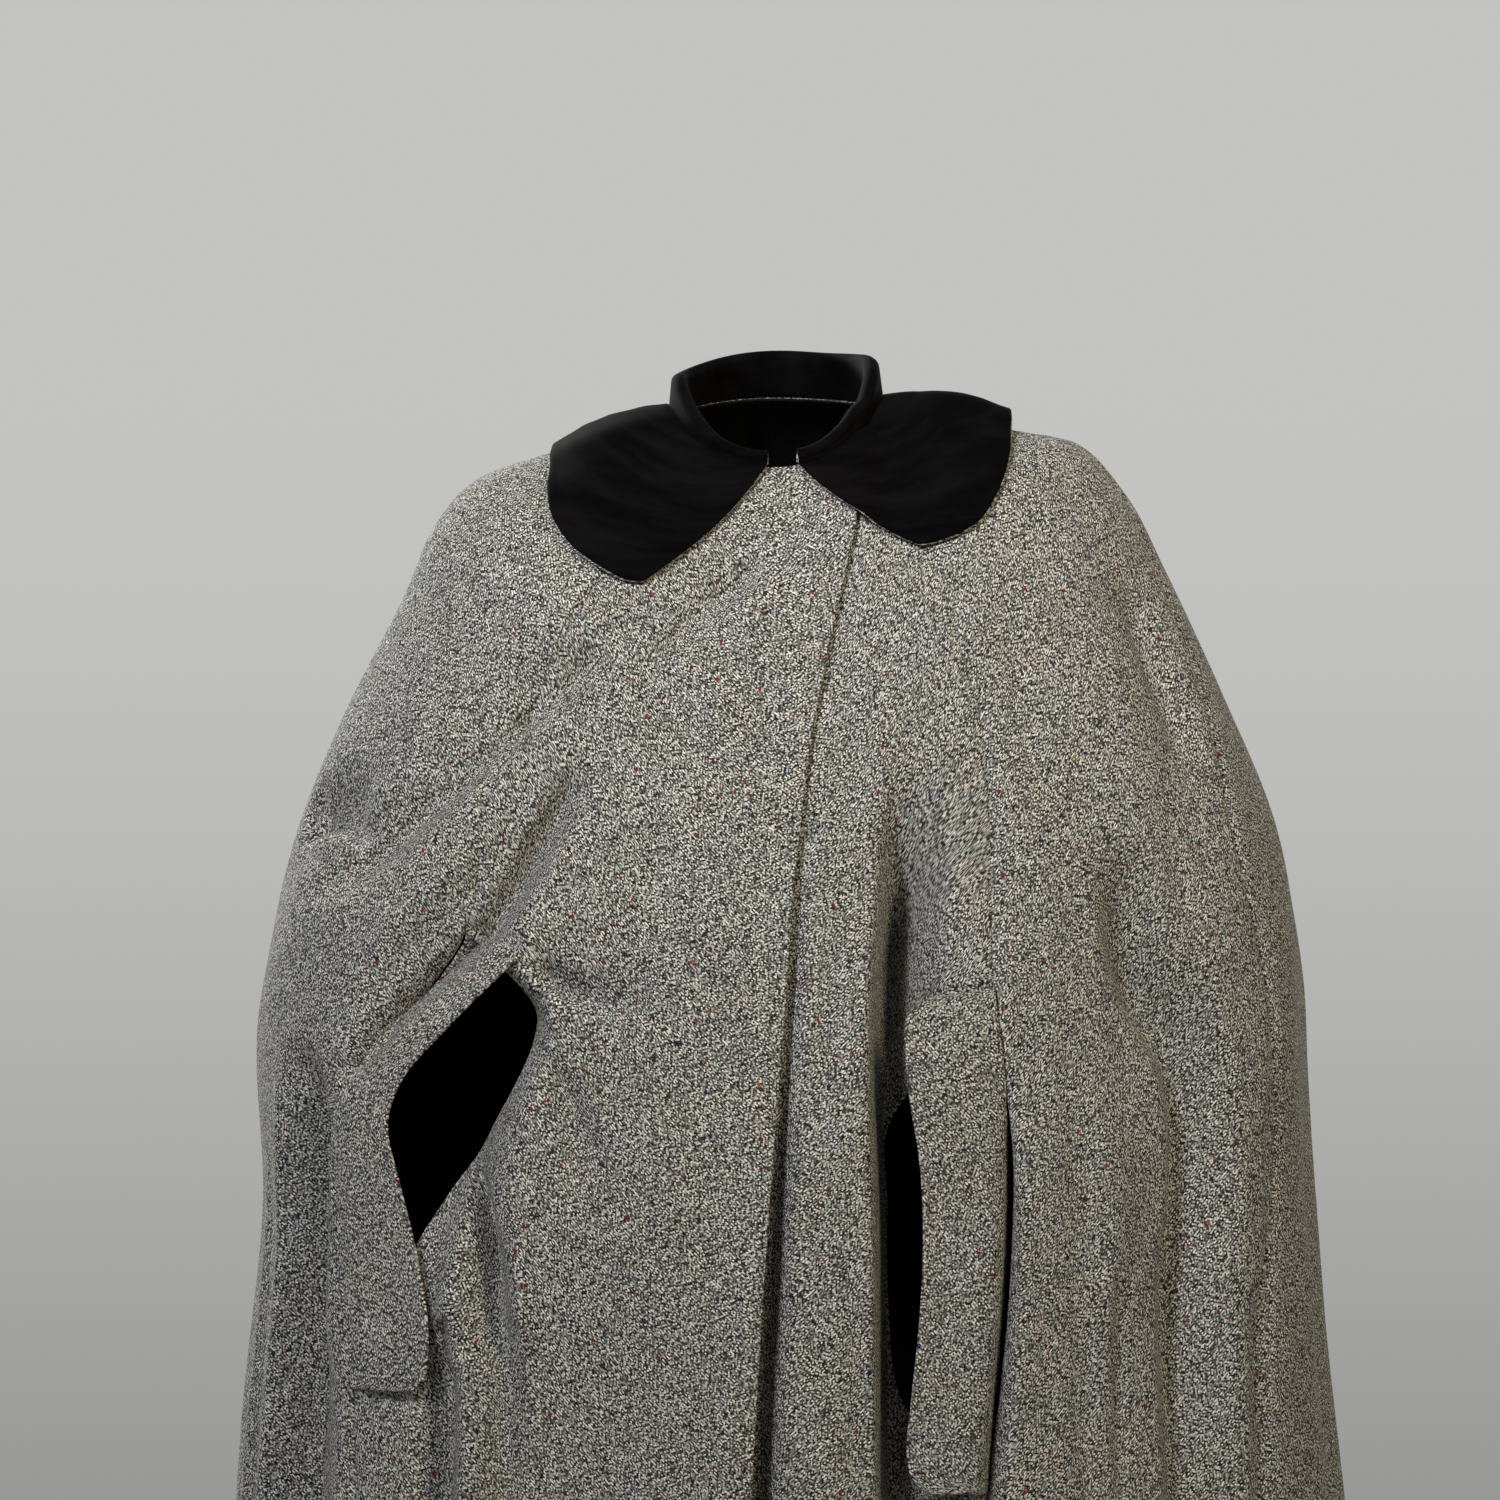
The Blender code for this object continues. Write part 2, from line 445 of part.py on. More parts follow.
def collar_grid(stations):
    """Points and normals of the sheet between the collar's two layers, stand to edge."""
    index = np.linspace(0, len(COLLAR) - 1, stations + 1)
    known = np.arange(len(COLLAR))
    column = {key: spline(known, [getattr(row, key) for row in COLLAR], index)
              for key in Station._fields}
    surface = cloth("collar")
    neck = -column["neck"]
    base = surface(neck, np.zeros(len(index)))
    angle = np.radians(neck)
    out = np.stack([np.sin(angle), -np.cos(angle), 0 * angle], -1)
    up = np.array([0.0, 0.0, 1.0])
    lean = STAND_LEAN * (column["stand"] - column["stand"].min())
    roll = base + up * (column["stand"] - ROLL_RADIUS)[:, None]
    roll = roll + out * (ROLL_RADIUS - lean)[:, None]
    curve = [base + up * (WALL / 2 + SEAM_GAP)]
    for turn in np.linspace(0, np.pi, 5):
        curve.append(roll + ROLL_RADIUS * (up * np.sin(turn) - out * np.cos(turn)))
    for share in COLLAR_FALL:
        bearing = neck - (column["edge"] - column["neck"]) * share
        bearing = bearing - column["bow"] * np.sin(np.pi * share)
        drop = column["edge_drop"] * share
        height = column["lift"] * share ** 2 + column["puff"] * np.sin(np.pi * share)
        height = (COLLAR_CLEARANCE + height)[:, None]
        curve.append(surface(bearing, drop) + height * normal(surface, bearing, drop))
    grid = np.stack(curve)
    down_it = np.gradient(grid, axis=0)
    round_it = np.gradient(grid, axis=1)
    face = np.cross(round_it, down_it)
    return grid, face / np.linalg.norm(face, axis=-1, keepdims=True)


def add_collar(velvet, wool):
    """The two layers of the collar, each up the stand, over the roll and down the fall."""
    near, far = SEAM_GAP / 2, SEAM_GAP / 2 + COLLAR_WALL
    grid, face = collar_grid(COLLAR_STATIONS)
    add_wall("collar_top", velvet, (grid + face * far)[:, ::-1], (grid + face * near)[:, ::-1])
    last = grid[-1] - grid[-2]
    grid[-1] += UNDER_RIM * last / np.linalg.norm(last, axis=-1, keepdims=True)
    add_wall("collar_under", wool, (grid - face * near)[:, ::-1], (grid - face * far)[:, ::-1])


for old in list(bpy.data.objects):
    bpy.data.objects.remove(old, do_unlink=True)

cape_wool, edge_wool, velvet = material("wool"), material("welt_wool"), material("velvet")
back_seam = [(drop, bearing + 360) for drop, bearing in SIDE_SEAM_RIGHT]
add_panel("side_front_right", cape_wool, [(SIDE_SEAM_RIGHT, 11), (PRINCESS_RIGHT, 0)])
add_panel("front_right", cape_wool, [(PRINCESS_RIGHT, 9), (RIGHT_FLUTE, 8), (FRONT_EDGE, 0)],
          "right")
add_panel("front_left", cape_wool, [(UNDERLAP_EDGE, 6), (PLEAT_LIP, 12), (PRINCESS_LEFT, 0)],
          "left")
add_panel("side_front_left", cape_wool, [(PRINCESS_LEFT, 10), (SIDE_SEAM_LEFT, 0)])
add_panel("back", cape_wool, [(SIDE_SEAM_LEFT, 36), (back_seam, 0)])
add_welt("right", edge_wool)
add_welt("left", edge_wool)
add_collar(velvet, edge_wool)
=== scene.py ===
import math

import bpy
import numpy as np
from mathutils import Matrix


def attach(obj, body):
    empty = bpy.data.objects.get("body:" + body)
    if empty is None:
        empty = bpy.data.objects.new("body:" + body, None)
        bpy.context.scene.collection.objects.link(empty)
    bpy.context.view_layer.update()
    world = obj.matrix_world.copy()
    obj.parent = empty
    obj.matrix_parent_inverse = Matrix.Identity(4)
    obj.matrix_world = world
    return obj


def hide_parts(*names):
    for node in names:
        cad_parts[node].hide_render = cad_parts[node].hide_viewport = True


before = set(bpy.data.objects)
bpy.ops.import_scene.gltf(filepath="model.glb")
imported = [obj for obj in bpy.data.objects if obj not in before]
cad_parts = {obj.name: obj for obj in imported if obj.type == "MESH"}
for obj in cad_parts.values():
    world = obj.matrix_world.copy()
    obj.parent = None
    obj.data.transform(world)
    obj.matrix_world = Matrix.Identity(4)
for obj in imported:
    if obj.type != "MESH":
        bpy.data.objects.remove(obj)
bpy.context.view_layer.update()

print("cape coat: frame loaded")

# the cloth surface is placed by bearing, in degrees round the body from the centre front towards
# the wearer's left, and by drop, in metres below the neck seam

coat = {
    "wall": 0.0024,            # the wool, with its turned edges
    "collarWall": 0.0012,      # one layer of the collar
    "seamGap": 0.0003,
    "lapLift": 0.0050,         # the right front above the left
    "lapFade": 0.040,
    "edgeFade": 0.016,
    "weltLift": 0.0029,
    "neckFrontZ": -0.028,
    "length": 0.972,
    "edgeRound": 0.0012,       # radius of a turned edge
    "seamRound": 0.0010,
    "seamDip": 0.0028,         # how far the cloth sinks into a sewn seam
    "dipWidth": 0.0021,
    "turnedRows": 9,           # rows and columns of a turned edge, before the painted shade of the inside begins
    "swell": 0.0009,           # slow unevenness of the cloth
    "ripple": 0.0005,
    "puckerHeight": 0.00035,   # short ripples beside the sewn seams
    "puckerPitch": 0.0135,
    "puckerReach": 0.008,
}

ringColumns = "drop rightZ leftZ backZ right left front back square".split()
rings = np.array([
    (0.000, +0.011, +0.015, +0.022, 0.056, 0.058, 0.070, 0.060, 2.00),
    (0.030, -0.005, +0.007, +0.004, 0.091, 0.094, 0.089, 0.084, 2.00),
    (0.065, -0.016, -0.001, -0.023, 0.130, 0.134, 0.108, 0.104, 2.00),
    (0.100, -0.029, -0.009, -0.055, 0.168, 0.172, 0.125, 0.119, 2.05),
    (0.135, -0.052, -0.037, -0.092, 0.191, 0.197, 0.140, 0.130, 2.10),
    (0.180, -0.095, -0.080, -0.137, 0.210, 0.219, 0.157, 0.143, 2.15),
    (0.240, -0.162, -0.150, -0.198, 0.243, 0.252, 0.177, 0.160, 2.20),
    (0.310, -0.235, -0.222, -0.270, 0.272, 0.281, 0.195, 0.180, 2.20),
    (0.390, -0.322, -0.310, -0.352, 0.290, 0.299, 0.210, 0.200, 2.20),
    (0.500, -0.440, -0.430, -0.466, 0.290, 0.307, 0.228, 0.222, 2.20),
    (0.620, -0.570, -0.560, -0.590, 0.304, 0.319, 0.247, 0.246, 2.20),
    (0.800, -0.765, -0.760, -0.778, 0.323, 0.340, 0.278, 0.274, 2.15),
    (0.972, -1.000, -1.000, -1.000, 0.345, 0.364, 0.308, 0.300, 2.10),
])

# seams and edges, as (drop, bearing) from neck to hem
lines = {
    "frontEdge": [(0, 40), (0.044, 26.8), (0.082, 17.2), (0.126, 10.2), (0.204, 4.2),
                  (0.3, 1.2), (0.42, -1.5), (0.544, -3.2), (0.972, -6)],
    "underlapEdge": [(0, 0), (0.044, -2), (0.126, -9), (0.3, -13),
                     (0.544, -15), (0.972, -15)],
    "princessRight": [(0, -46), (0.05, -43), (0.104, -42.2), (0.148, -44.2),
                      (0.198, -47.2), (0.24, -48), (0.274, -47), (0.306, -47.8),
                      (0.34, -52.3), (0.39, -58.3), (0.419, -60.8), (0.466, -59.4),
                      (0.552, -54.7), (0.604, -52.6), (0.972, -46)],
    "princessLeft": [(0, 44), (0.05, 41), (0.086, 39), (0.144, 38.2), (0.196, 37.8),
                     (0.246, 35), (0.315, 32.4), (0.381, 32.6), (0.42, 32.3),
                     (0.477, 30.5), (0.515, 28.8), (0.559, 26.9), (0.972, 24)],
    "sideRight": [(0, -90), (0.1, -92), (0.2, -96), (0.4, -100),
                  (0.972, -104)],
    "sideLeft": [(0, 90), (0.1, 86), (0.16, 82), (0.232, 75.8), (0.292, 70.5),
                 (0.39, 69.5), (0.49, 66.5), (0.54, 62.5), (0.618, 60), (0.972, 58)],
    "rightFlute": [(0, -34), (0.1, -30), (0.3, -31), (0.42, -33),
                   (0.55, -30), (0.972, -23)],
    "pleatLip": [(0, 33), (0.1, 27), (0.17, 20.5), (0.26, 15.5), (0.32, 13.6),
                 (0.4, 12.8), (0.55, 11.2), (0.972, 9)],
}
lines["backRight"] = [(drop, bearing + 360) for drop, bearing in lines["sideRight"]]

slits = {
    "right": {
        "top": 0.305, "bottom": 0.553, "seam": "princessRight",
        "drawnBack": [(0.305, -47.8), (0.314, -40.5), (0.335, -37), (0.37, -38.6),
                      (0.4, -42.6), (0.43, -46), (0.46, -48.5), (0.49, -50.5), (0.52, -52.4),
                      (0.553, -54.7)],
        "free": [(0.3, -37.4), (0.357, -46.3), (0.39, -51), (0.414, -52.2),
                 (0.441, -49.9), (0.476, -46.5), (0.517, -44.2), (0.538, -44.6)],
        "topRadius": 0.006, "bottomRadius": 0.008,
    },
    "left": {
        "top": 0.314, "bottom": 0.563, "seam": "princessLeft",
        "drawnBack": [(0.314, 32.4), (0.35, 19), (0.4, 16.8), (0.45, 16.4),
                      (0.5, 17.5), (0.563, 26.7)],
        "free": [(0.3, 19.2), (0.35, 19.3), (0.381, 20.1), (0.418, 20),
                 (0.461, 19), (0.504, 17.3), (0.529, 16.4), (0.552, 16.8)],
        "topRadius": 0.018, "bottomRadius": 0.014,
    },
}

# folds: pieces, height, half widths to the wearer's right and left, how much wider the far end
# is, the shares of the path over which the fold comes and goes, and the (drop, bearing) path
everyPanel = ("frontRight", "frontLeft", "sideFrontRight", "sideFrontLeft", "back",
              "weltRight", "weltLeft", "collar")
fronts = ("frontRight", "frontLeft")
folds = [
    # drag lines from the neck to the wearer's right arm
    (everyPanel, -0.004, 0.02, 0.02, 1.3, 0.4, 0.4, [(0.026, 6.5), (0.078, -20.5), (0.15, -33.2)]),
    (everyPanel, -0.007, 0.02, 0.022, 1.4, 0.3, 0.3,
     [(0.136, -38), (0.166, -44.5), (0.218, -51.2), (0.29, -63.8), (0.322, -76.8)]),
    (everyPanel, -0.011, 0.026, 0.032, 1.2, 0.4, 0.3,
     [(0.214, -39.5), (0.266, -43.5), (0.322, -50.2), (0.374, -60)]),
    (everyPanel, -0.003, 0.022, 0.022, 1.3, 0.4, 0.4, [(0.12, 4), (0.156, -5.5), (0.194, -14.2)]),
    (("frontRight",), -0.006, 0.02, 0.03, 1.4, 0.3, 0.6, [(0.304, -38.5), (0.3, -27), (0.3, -16.5)]),
    # the deep pleat beside the left slit, and the ridge in front of it
    (("frontLeft",), -0.05, 0.011, 0.031, 1.4, 0.2, 0,
     [(0.18, 23.4), (0.26, 18.9), (0.32, 16.9), (0.4, 16.5), (0.55, 15.3), (1, 12.8)]),
    (("frontLeft",), +0.009, 0.034, 0.026, 1.4, 0.4, 0,
     [(0.24, 10.5), (0.4, 7.5), (0.55, 5.5), (1, 2.5)]),
    # the left front sinks under the lapping edge
    (("frontLeft",), -0.01, 0.06, 0.018, 1.3, 0.4, 0,
     [(0.26, 1.5), (0.42, -1.5), (0.544, -3.2), (1, -6)]),
    (("frontRight",), +0.006, 0.06, 0.03, 1.4, 0.5, 0,
     [(0.3, 1.2), (0.42, -1.5), (0.544, -3.2), (1, -6)]),
    # flutes of the right front
    (("frontRight",), +0.008, 0.013, 0.013, 1.8, 0.3, 0,
     [(0.42, -44), (0.51, -41.2), (0.56, -37.5), (1, -32)]),
    (("frontRight",), -0.01, 0.014, 0.022, 1.8, 0.2, 0,
     [(0.42, -39.6), (0.492, -38), (0.556, -34), (1, -27)]),
    (("frontRight",), -0.01, 0.014, 0.016, 1.6, 0.2, 0, [(0.5, -45), (0.56, -42), (1, -37.5)]),
    (fronts, -0.008, 0.045, 0.045, 1.5, 0.5, 0, [(0.38, -24), (0.6, -21), (1, -19)]),
    # outside the right welt, below the elbow
    (everyPanel, -0.014, 0.024, 0.02, 1.8, 0.2, 0,
     [(0.39, -67.5), (0.432, -66), (0.524, -64.5), (0.616, -60.5), (1, -54)]),
    # the wearer's left side
    (everyPanel, -0.005, 0.034, 0.04, 1, 0.4, 0.4,
     [(0.13, 70), (0.194, 67.8), (0.262, 64.5), (0.346, 59.5)]),
    (everyPanel, -0.0125, 0.046, 0.036, 1.7, 0.3, 0,
     [(0.24, 49), (0.34, 49.2), (0.412, 53.5), (0.484, 51.8), (0.598, 47.2), (1, 42)]),
    (("sideFrontLeft",), +0.004, 0.012, 0.03, 1, 0.3, 0.2,
     [(0.35, 32.5), (0.42, 32.3), (0.477, 30.6), (0.556, 27.2)]),
    (("weltLeft",), -0.003, 0.016, 0.01, 1, 0.3, 0.2,
     [(0.35, 32.5), (0.42, 32), (0.477, 30.2), (0.556, 26.8)]),
    # the back and the hidden side
    (everyPanel, -0.016, 0.05, 0.05, 1.5, 0.6, 0, [(0.3, 84), (0.6, 82), (1, 78)]),
    (everyPanel, -0.024, 0.048, 0.055, 1.6, 0.6, 0, [(0.26, 112), (1, 108)]),
    (everyPanel, -0.022, 0.045, 0.045, 1.5, 0.7, 0, [(0.36, 137), (1, 135)]),
    (everyPanel, -0.03, 0.052, 0.048, 1.5, 0.6, 0, [(0.24, 160), (1, 163)]),
    (everyPanel, -0.024, 0.046, 0.05, 1.6, 0.7, 0, [(0.34, 189), (1, 191)]),
    (everyPanel, -0.029, 0.05, 0.046, 1.5, 0.6, 0, [(0.25, 212), (1, 217)]),
    (everyPanel, -0.023, 0.045, 0.052, 1.5, 0.7, 0, [(0.33, 238), (1, 243)]),
    (everyPanel, -0.016, 0.046, 0.044, 1.6, 0.6, 0, [(0.38, 264), (1, 270)]),
    (everyPanel, -0.008, 0.026, 0.026, 1.8, 0.5, 0, [(0.44, -82), (1, -80)]),
]
recesses = {   # where each front falls back from its welt, within the slit
    "frontRight": ("right", (("frontRight",), -0.05, 0.042, 0.03, 2.4, 0.2, 0.5,
                             [(0.306, -37.5), (0.335, -41.5), (0.39, -46.5), (0.44, -48.5),
                              (0.52, -47)])),
    "frontLeft": ("left", (("frontLeft",), -0.026, 0.06, 0.08, 1, 0.2, 0.2,
                           [(0.318, 31), (0.42, 30), (0.55, 27)])),
}
recessStart = 0.02

# finer creases, in the same columns
creases = [
    # across the chest and the right arm
    (everyPanel, +0.0022, 0.013, 0.016, 1.3, 0.4, 0.5, [(0.06, -6), (0.104, -24), (0.16, -36)]),
    (everyPanel, -0.002, 0.01, 0.013, 1.4, 0.3, 0.5,
     [(0.112, -30), (0.148, -40.5), (0.196, -50), (0.246, -60)]),
    (everyPanel, +0.0024, 0.012, 0.015, 1.2, 0.4, 0.4,
     [(0.18, -42), (0.222, -48), (0.276, -57), (0.33, -70)]),
    (everyPanel, -0.0026, 0.009, 0.012, 1.3, 0.3, 0.5, [(0.262, -60), (0.298, -70), (0.318, -84)]),
    (everyPanel, -0.0016, 0.012, 0.012, 1.2, 0.5, 0.5,
     [(0.07, 62), (0.11, 58), (0.17, 56), (0.23, 56.5)]),
    (("frontRight",), -0.0018, 0.012, 0.015, 1.4, 0.4, 0.5, [(0.318, -34), (0.345, -27), (0.372, -18)]),
    (("frontRight",), +0.0022, 0.016, 0.012, 1.2, 0.3, 0.5, [(0.3, -36), (0.286, -27), (0.282, -18)]),
    (("frontRight",), -0.003, 0.012, 0.016, 1.6, 0.3, 0,
     [(0.4, -33), (0.47, -31), (0.56, -27.5), (1, -21)]),
    (("frontRight",), +0.003, 0.012, 0.012, 1.7, 0.3, 0, [(0.44, -35.5), (0.52, -33), (1, -24.5)]),
    (("frontRight",), -0.004, 0.02, 0.016, 1.8, 0.5, 0, [(0.36, -11), (0.56, -11.5), (1, -13)]),
    (("frontLeft",), -0.003, 0.012, 0.01, 1.3, 0.3, 0.3, [(0.2, 12), (0.3, 8), (0.42, 6), (0.56, 4.2)]),
    (("frontLeft",), +0.0024, 0.008, 0.008, 1.2, 0.3, 0.1,
     [(0.23, 16.6), (0.32, 13), (0.45, 12.4), (0.56, 11.8), (1, 9)]),
    (("frontLeft",), -0.002, 0.01, 0.012, 1.2, 0.4, 0.5,
     [(0.15, 29), (0.21, 26), (0.27, 24.6), (0.306, 24.5)]),
    # the wearer's left side and arm
    (everyPanel, -0.0034, 0.01, 0.014, 1.5, 0.3, 0.1,
     [(0.312, 41.5), (0.448, 39.8), (0.534, 38.5), (1, 34)]),
    (everyPanel, +0.0026, 0.012, 0.012, 1.5, 0.3, 0.1,
     [(0.33, 45.5), (0.45, 44.5), (0.56, 41.5), (1, 37)]),
    (everyPanel, -0.0026, 0.008, 0.01, 1.6, 0.4, 0.1, [(0.46, 45), (0.588, 41.5), (1, 36.5)]),
    (everyPanel, -0.0036, 0.009, 0.012, 1.8, 0.3, 0.1, [(0.492, 64), (0.618, 59.2), (1, 52)]),
    (everyPanel, +0.003, 0.012, 0.012, 1.6, 0.3, 0.1, [(0.4, 58), (0.5, 57), (0.62, 53), (1, 47)]),
    (everyPanel, -0.0022, 0.016, 0.012, 1.2, 0.5, 0.5,
     [(0.24, 62), (0.3, 59.5), (0.38, 58.5), (0.45, 58)]),
    (everyPanel, -0.002, 0.01, 0.01, 1.2, 0.4, 0.5,
     [(0.118, 48), (0.166, 45.5), (0.22, 44), (0.28, 43.5)]),
    # below the right elbow
    (everyPanel, -0.015, 0.01, 0.034, 1.2, 0.15, 0.4, [(0.302, -81), (0.287, -72), (0.284, -63.5)]),
    (everyPanel, +0.004, 0.014, 0.012, 1.5, 0.3, 0.1, [(0.4, -72), (0.47, -71), (0.56, -68.5), (1, -62)]),
    (everyPanel, -0.004, 0.01, 0.012, 1.6, 0.4, 0.1, [(0.43, -77), (0.52, -76), (0.64, -73), (1, -66)]),
    # sharp drag lines towards the right elbow
    (everyPanel, -0.008, 0.007, 0.016, 1.2, 0.2, 0.5,
     [(0.04, -1), (0.082, -18.4), (0.114, -25.2), (0.152, -31.5)]),
    (everyPanel, -0.007, 0.007, 0.016, 1.3, 0.12, 0.3,
     [(0.13, -35.8), (0.187, -45.4), (0.248, -55.6), (0.3, -64.8), (0.324, -75)]),
    (everyPanel, -0.015, 0.0078, 0.017, 1.15, 0.18, 0.35,
     [(0.19, -35.2), (0.222, -38), (0.256, -41.2), (0.307, -46.4), (0.346, -52.8),
      (0.382, -57.6), (0.41, -61.5)]),
    (everyPanel, +0.004, 0.01, 0.01, 1.3, 0.3, 0.4,
     [(0.232, -44), (0.284, -50.5), (0.33, -57), (0.368, -62)]),
    (("frontRight",), -0.004, 0.008, 0.012, 1.2, 0.3, 0.6, [(0.244, -32), (0.268, -34.4), (0.29, -37)]),
    (everyPanel, -0.0035, 0.006, 0.01, 1.3, 0.3, 0.4,
     [(0.363, -53.3), (0.381, -55.5), (0.394, -58.3), (0.418, -66.7)]),
    (("frontRight",), -0.0105, 0.009, 0.014, 1.3, 0.15, 0.6,
     [(0.304, -37.5), (0.311, -31.5), (0.311, -26), (0.303, -15)]),
    (("frontRight",), -0.01, 0.014, 0.017, 1.1, 0.4, 0.4,
     [(0.34, -35), (0.362, -30.5), (0.385, -28), (0.425, -30.5)]),
    # below the right slit and the elbow
    (("frontRight",), -0.019, 0.008, 0.015, 1.3, 0.2, 0.75,
     [(0.412, -42.8), (0.436, -41.2), (0.458, -39.4), (0.484, -37.8), (0.52, -35.2), (0.6, -31.5)]),
    (("frontRight",), -0.01, 0.009, 0.012, 1.5, 0.55, 0,
     [(0.478, -46.4), (0.52, -44.9), (0.571, -42.8), (1, -36)]),
    (("frontRight",), -0.005, 0.006, 0.01, 1.5, 0.3, 0.2,
     [(0.505, -40), (0.538, -37.3), (0.575, -35), (1, -28)]),
    (everyPanel, -0.033, 0.014, 0.024, 1.5, 0.12, 0,
     [(0.412, -65.5), (0.447, -66.8), (0.497, -67.4), (0.543, -67.2), (0.597, -66.6), (1, -61)]),
    # the lapping edge and what it shades
    (("frontLeft",), -0.006, 0.03, 0.01, 1.2, 0.3, 0,
     [(0.16, 8.5), (0.26, 2.6), (0.42, -0.6), (0.544, -2.4), (1, -5.2)]),
    (("frontRight",), +0.003, 0.022, 0.02, 1.3, 0.4, 0,
     [(0.26, 1), (0.42, -2.5), (0.544, -4.2), (1, -7)]),
    (("frontLeft",), -0.016, 0.0075, 0.011, 1.2, 0.3, 0.4,
     [(0.225, 22.6), (0.262, 20.6), (0.29, 19.6), (0.32, 18.8), (0.37, 18.2)]),
    # the coat sinks round the ends of both welts
    (("frontLeft", "sideFrontLeft"), -0.0036, 0.006, 0.006, 1, 0.05, 0.1,
     [(0.32, 33), (0.308, 27), (0.299, 20.8), (0.31, 18)]),
    (("frontLeft",), -0.0036, 0.006, 0.006, 1, 0.1, 0.1, [(0.567, 26.5), (0.561, 21), (0.557, 16)]),
    (("frontRight",), -0.0034, 0.006, 0.006, 1, 0.1, 0.2, [(0.303, -47), (0.298, -42), (0.298, -37.5)]),
    (("frontRight",), -0.0036, 0.006, 0.006, 1, 0.1, 0.1, [(0.559, -54), (0.549, -49.5), (0.543, -44)]),
    # the groove beside the left welt and the soft valley past it
    (("weltLeft", "sideFrontLeft", "frontLeft"), -0.015, 0.009, 0.005, 1.7, 0.3, 0.1,
     [(0.345, 32.4), (0.415, 32.1), (0.468, 30.6), (0.516, 28.6), (0.56, 26.7), (0.585, 26)]),
    (everyPanel, -0.018, 0.017, 0.026, 1.4, 0.2, 0,
     [(0.27, 51.6), (0.316, 51), (0.346, 52.2), (0.399, 56.6), (0.462, 56), (0.556, 52.2),
      (1, 46)]),
    (everyPanel, -0.005, 0.014, 0.018, 1.2, 0.3, 0.4,
     [(0.168, 70), (0.204, 68.4), (0.24, 67.6), (0.276, 66)]),
    (everyPanel, -0.0018, 0.006, 0.008, 1.4, 0.3, 0.1,
     [(0.38, 70), (0.433, 67.5), (0.505, 64.8), (0.619, 61), (1, 55)]),
    (everyPanel, -0.0026, 0.006, 0.008, 1.4, 0.4, 0.1, [(0.47, 45), (0.543, 43.1), (1, 37)]),
    (everyPanel, -0.0016, 0.006, 0.014, 1.2, 0.3, 0.5, [(0.148, 36), (0.172, 46.6), (0.195, 56.7)]),
    # the back
    (everyPanel, -0.003, 0.03, 0.03, 1.2, 0.5, 0.5,
     [(0.09, 205), (0.13, 185), (0.13, 170), (0.095, 152)]),
    (everyPanel, -0.0035, 0.016, 0.018, 1.6, 0.4, 0.1, [(0.42, 149), (0.7, 148), (1, 149.5)]),
    (everyPanel, -0.004, 0.015, 0.018, 1.6, 0.4, 0.1, [(0.38, 176), (0.72, 178), (1, 177)]),
    (everyPanel, -0.0036, 0.018, 0.015, 1.6, 0.4, 0.1, [(0.46, 201), (1, 204)]),
    (everyPanel, -0.0036, 0.016, 0.018, 1.6, 0.4, 0.1, [(0.4, 226), (1, 229.5)]),
    (everyPanel, -0.0036, 0.016, 0.016, 1.6, 0.4, 0.1, [(0.44, 122.5), (1, 121)]),
    (everyPanel, -0.0036, 0.014, 0.016, 1.6, 0.4, 0.1, [(0.47, 97), (1, 94)]),
    (everyPanel, -0.0036, 0.014, 0.016, 1.6, 0.4, 0.1, [(0.46, 251), (1, 256)]),
]


def spline(knots, values, at):    # smooth curve through points that are unevenly apart
    knots, values, at = (np.asarray(v, float) for v in (knots, values, at))
    step = np.diff(knots)
    slope = np.diff(values) / step
    inner = (slope[:-1] * step[1:] + slope[1:] * step[:-1]) / (step[1:] + step[:-1])
    tangent = np.concatenate([slope[:1], inner, slope[-1:]])
    i = np.clip(np.searchsorted(knots, at) - 1, 0, len(knots) - 2)
    t = (at - knots[i]) / step[i]
    rise = step[i] * (tangent[i] * t * (1 - t) ** 2 - tangent[i + 1] * t * t * (1 - t))
    return values[i] * (1 + 2 * t) * (1 - t) ** 2 + values[i + 1] * t * t * (3 - 2 * t) + rise


def bearingOf(table, drop):
    drops, bearings = zip(*table)
    return spline(drops, bearings, drop)


def ringValue(name, drop):
    return spline(rings[:, 0], rings[:, ringColumns.index(name)], drop)


def smooth(x):
    x = np.clip(x, 0.0, 1.0)
    return x * x * (3 - 2 * x)


def reach(bearing, drop):         # from the upright axis to the plain surface
    angle = np.radians(bearing)
    across, ahead = np.sin(angle), np.cos(angle)
    half = np.where(across < 0, ringValue("right", drop), ringValue("left", drop))
    deep = np.where(ahead > 0, ringValue("front", drop), ringValue("back", drop))
    power = ringValue("square", drop)
    return (np.abs(across / half) ** power + np.abs(ahead / deep) ** power) ** (-1 / power)


def plainPoint(bearing, drop):
    angle = np.radians(bearing)
    across, ahead = np.sin(angle), np.cos(angle)
    sideZ = np.where(across < 0, ringValue("rightZ", drop), ringValue("leftZ", drop))
    endZ = np.where(ahead > 0, coat["neckFrontZ"] - drop, ringValue("backZ", drop))
    out = reach(bearing, drop)
    return np.stack([out * across, -out * ahead, sideZ + (endZ - sideZ) * ahead ** 2], -1)


def plainNormal(bearing, drop):
    turn, down = 0.2, 0.0015
    roundIt = plainPoint(bearing + turn, drop) - plainPoint(bearing - turn, drop)
    downIt = plainPoint(bearing, drop + down) - plainPoint(bearing, drop - down)
    out = np.cross(downIt, roundIt)
    return out / np.linalg.norm(out, axis=-1, keepdims=True)


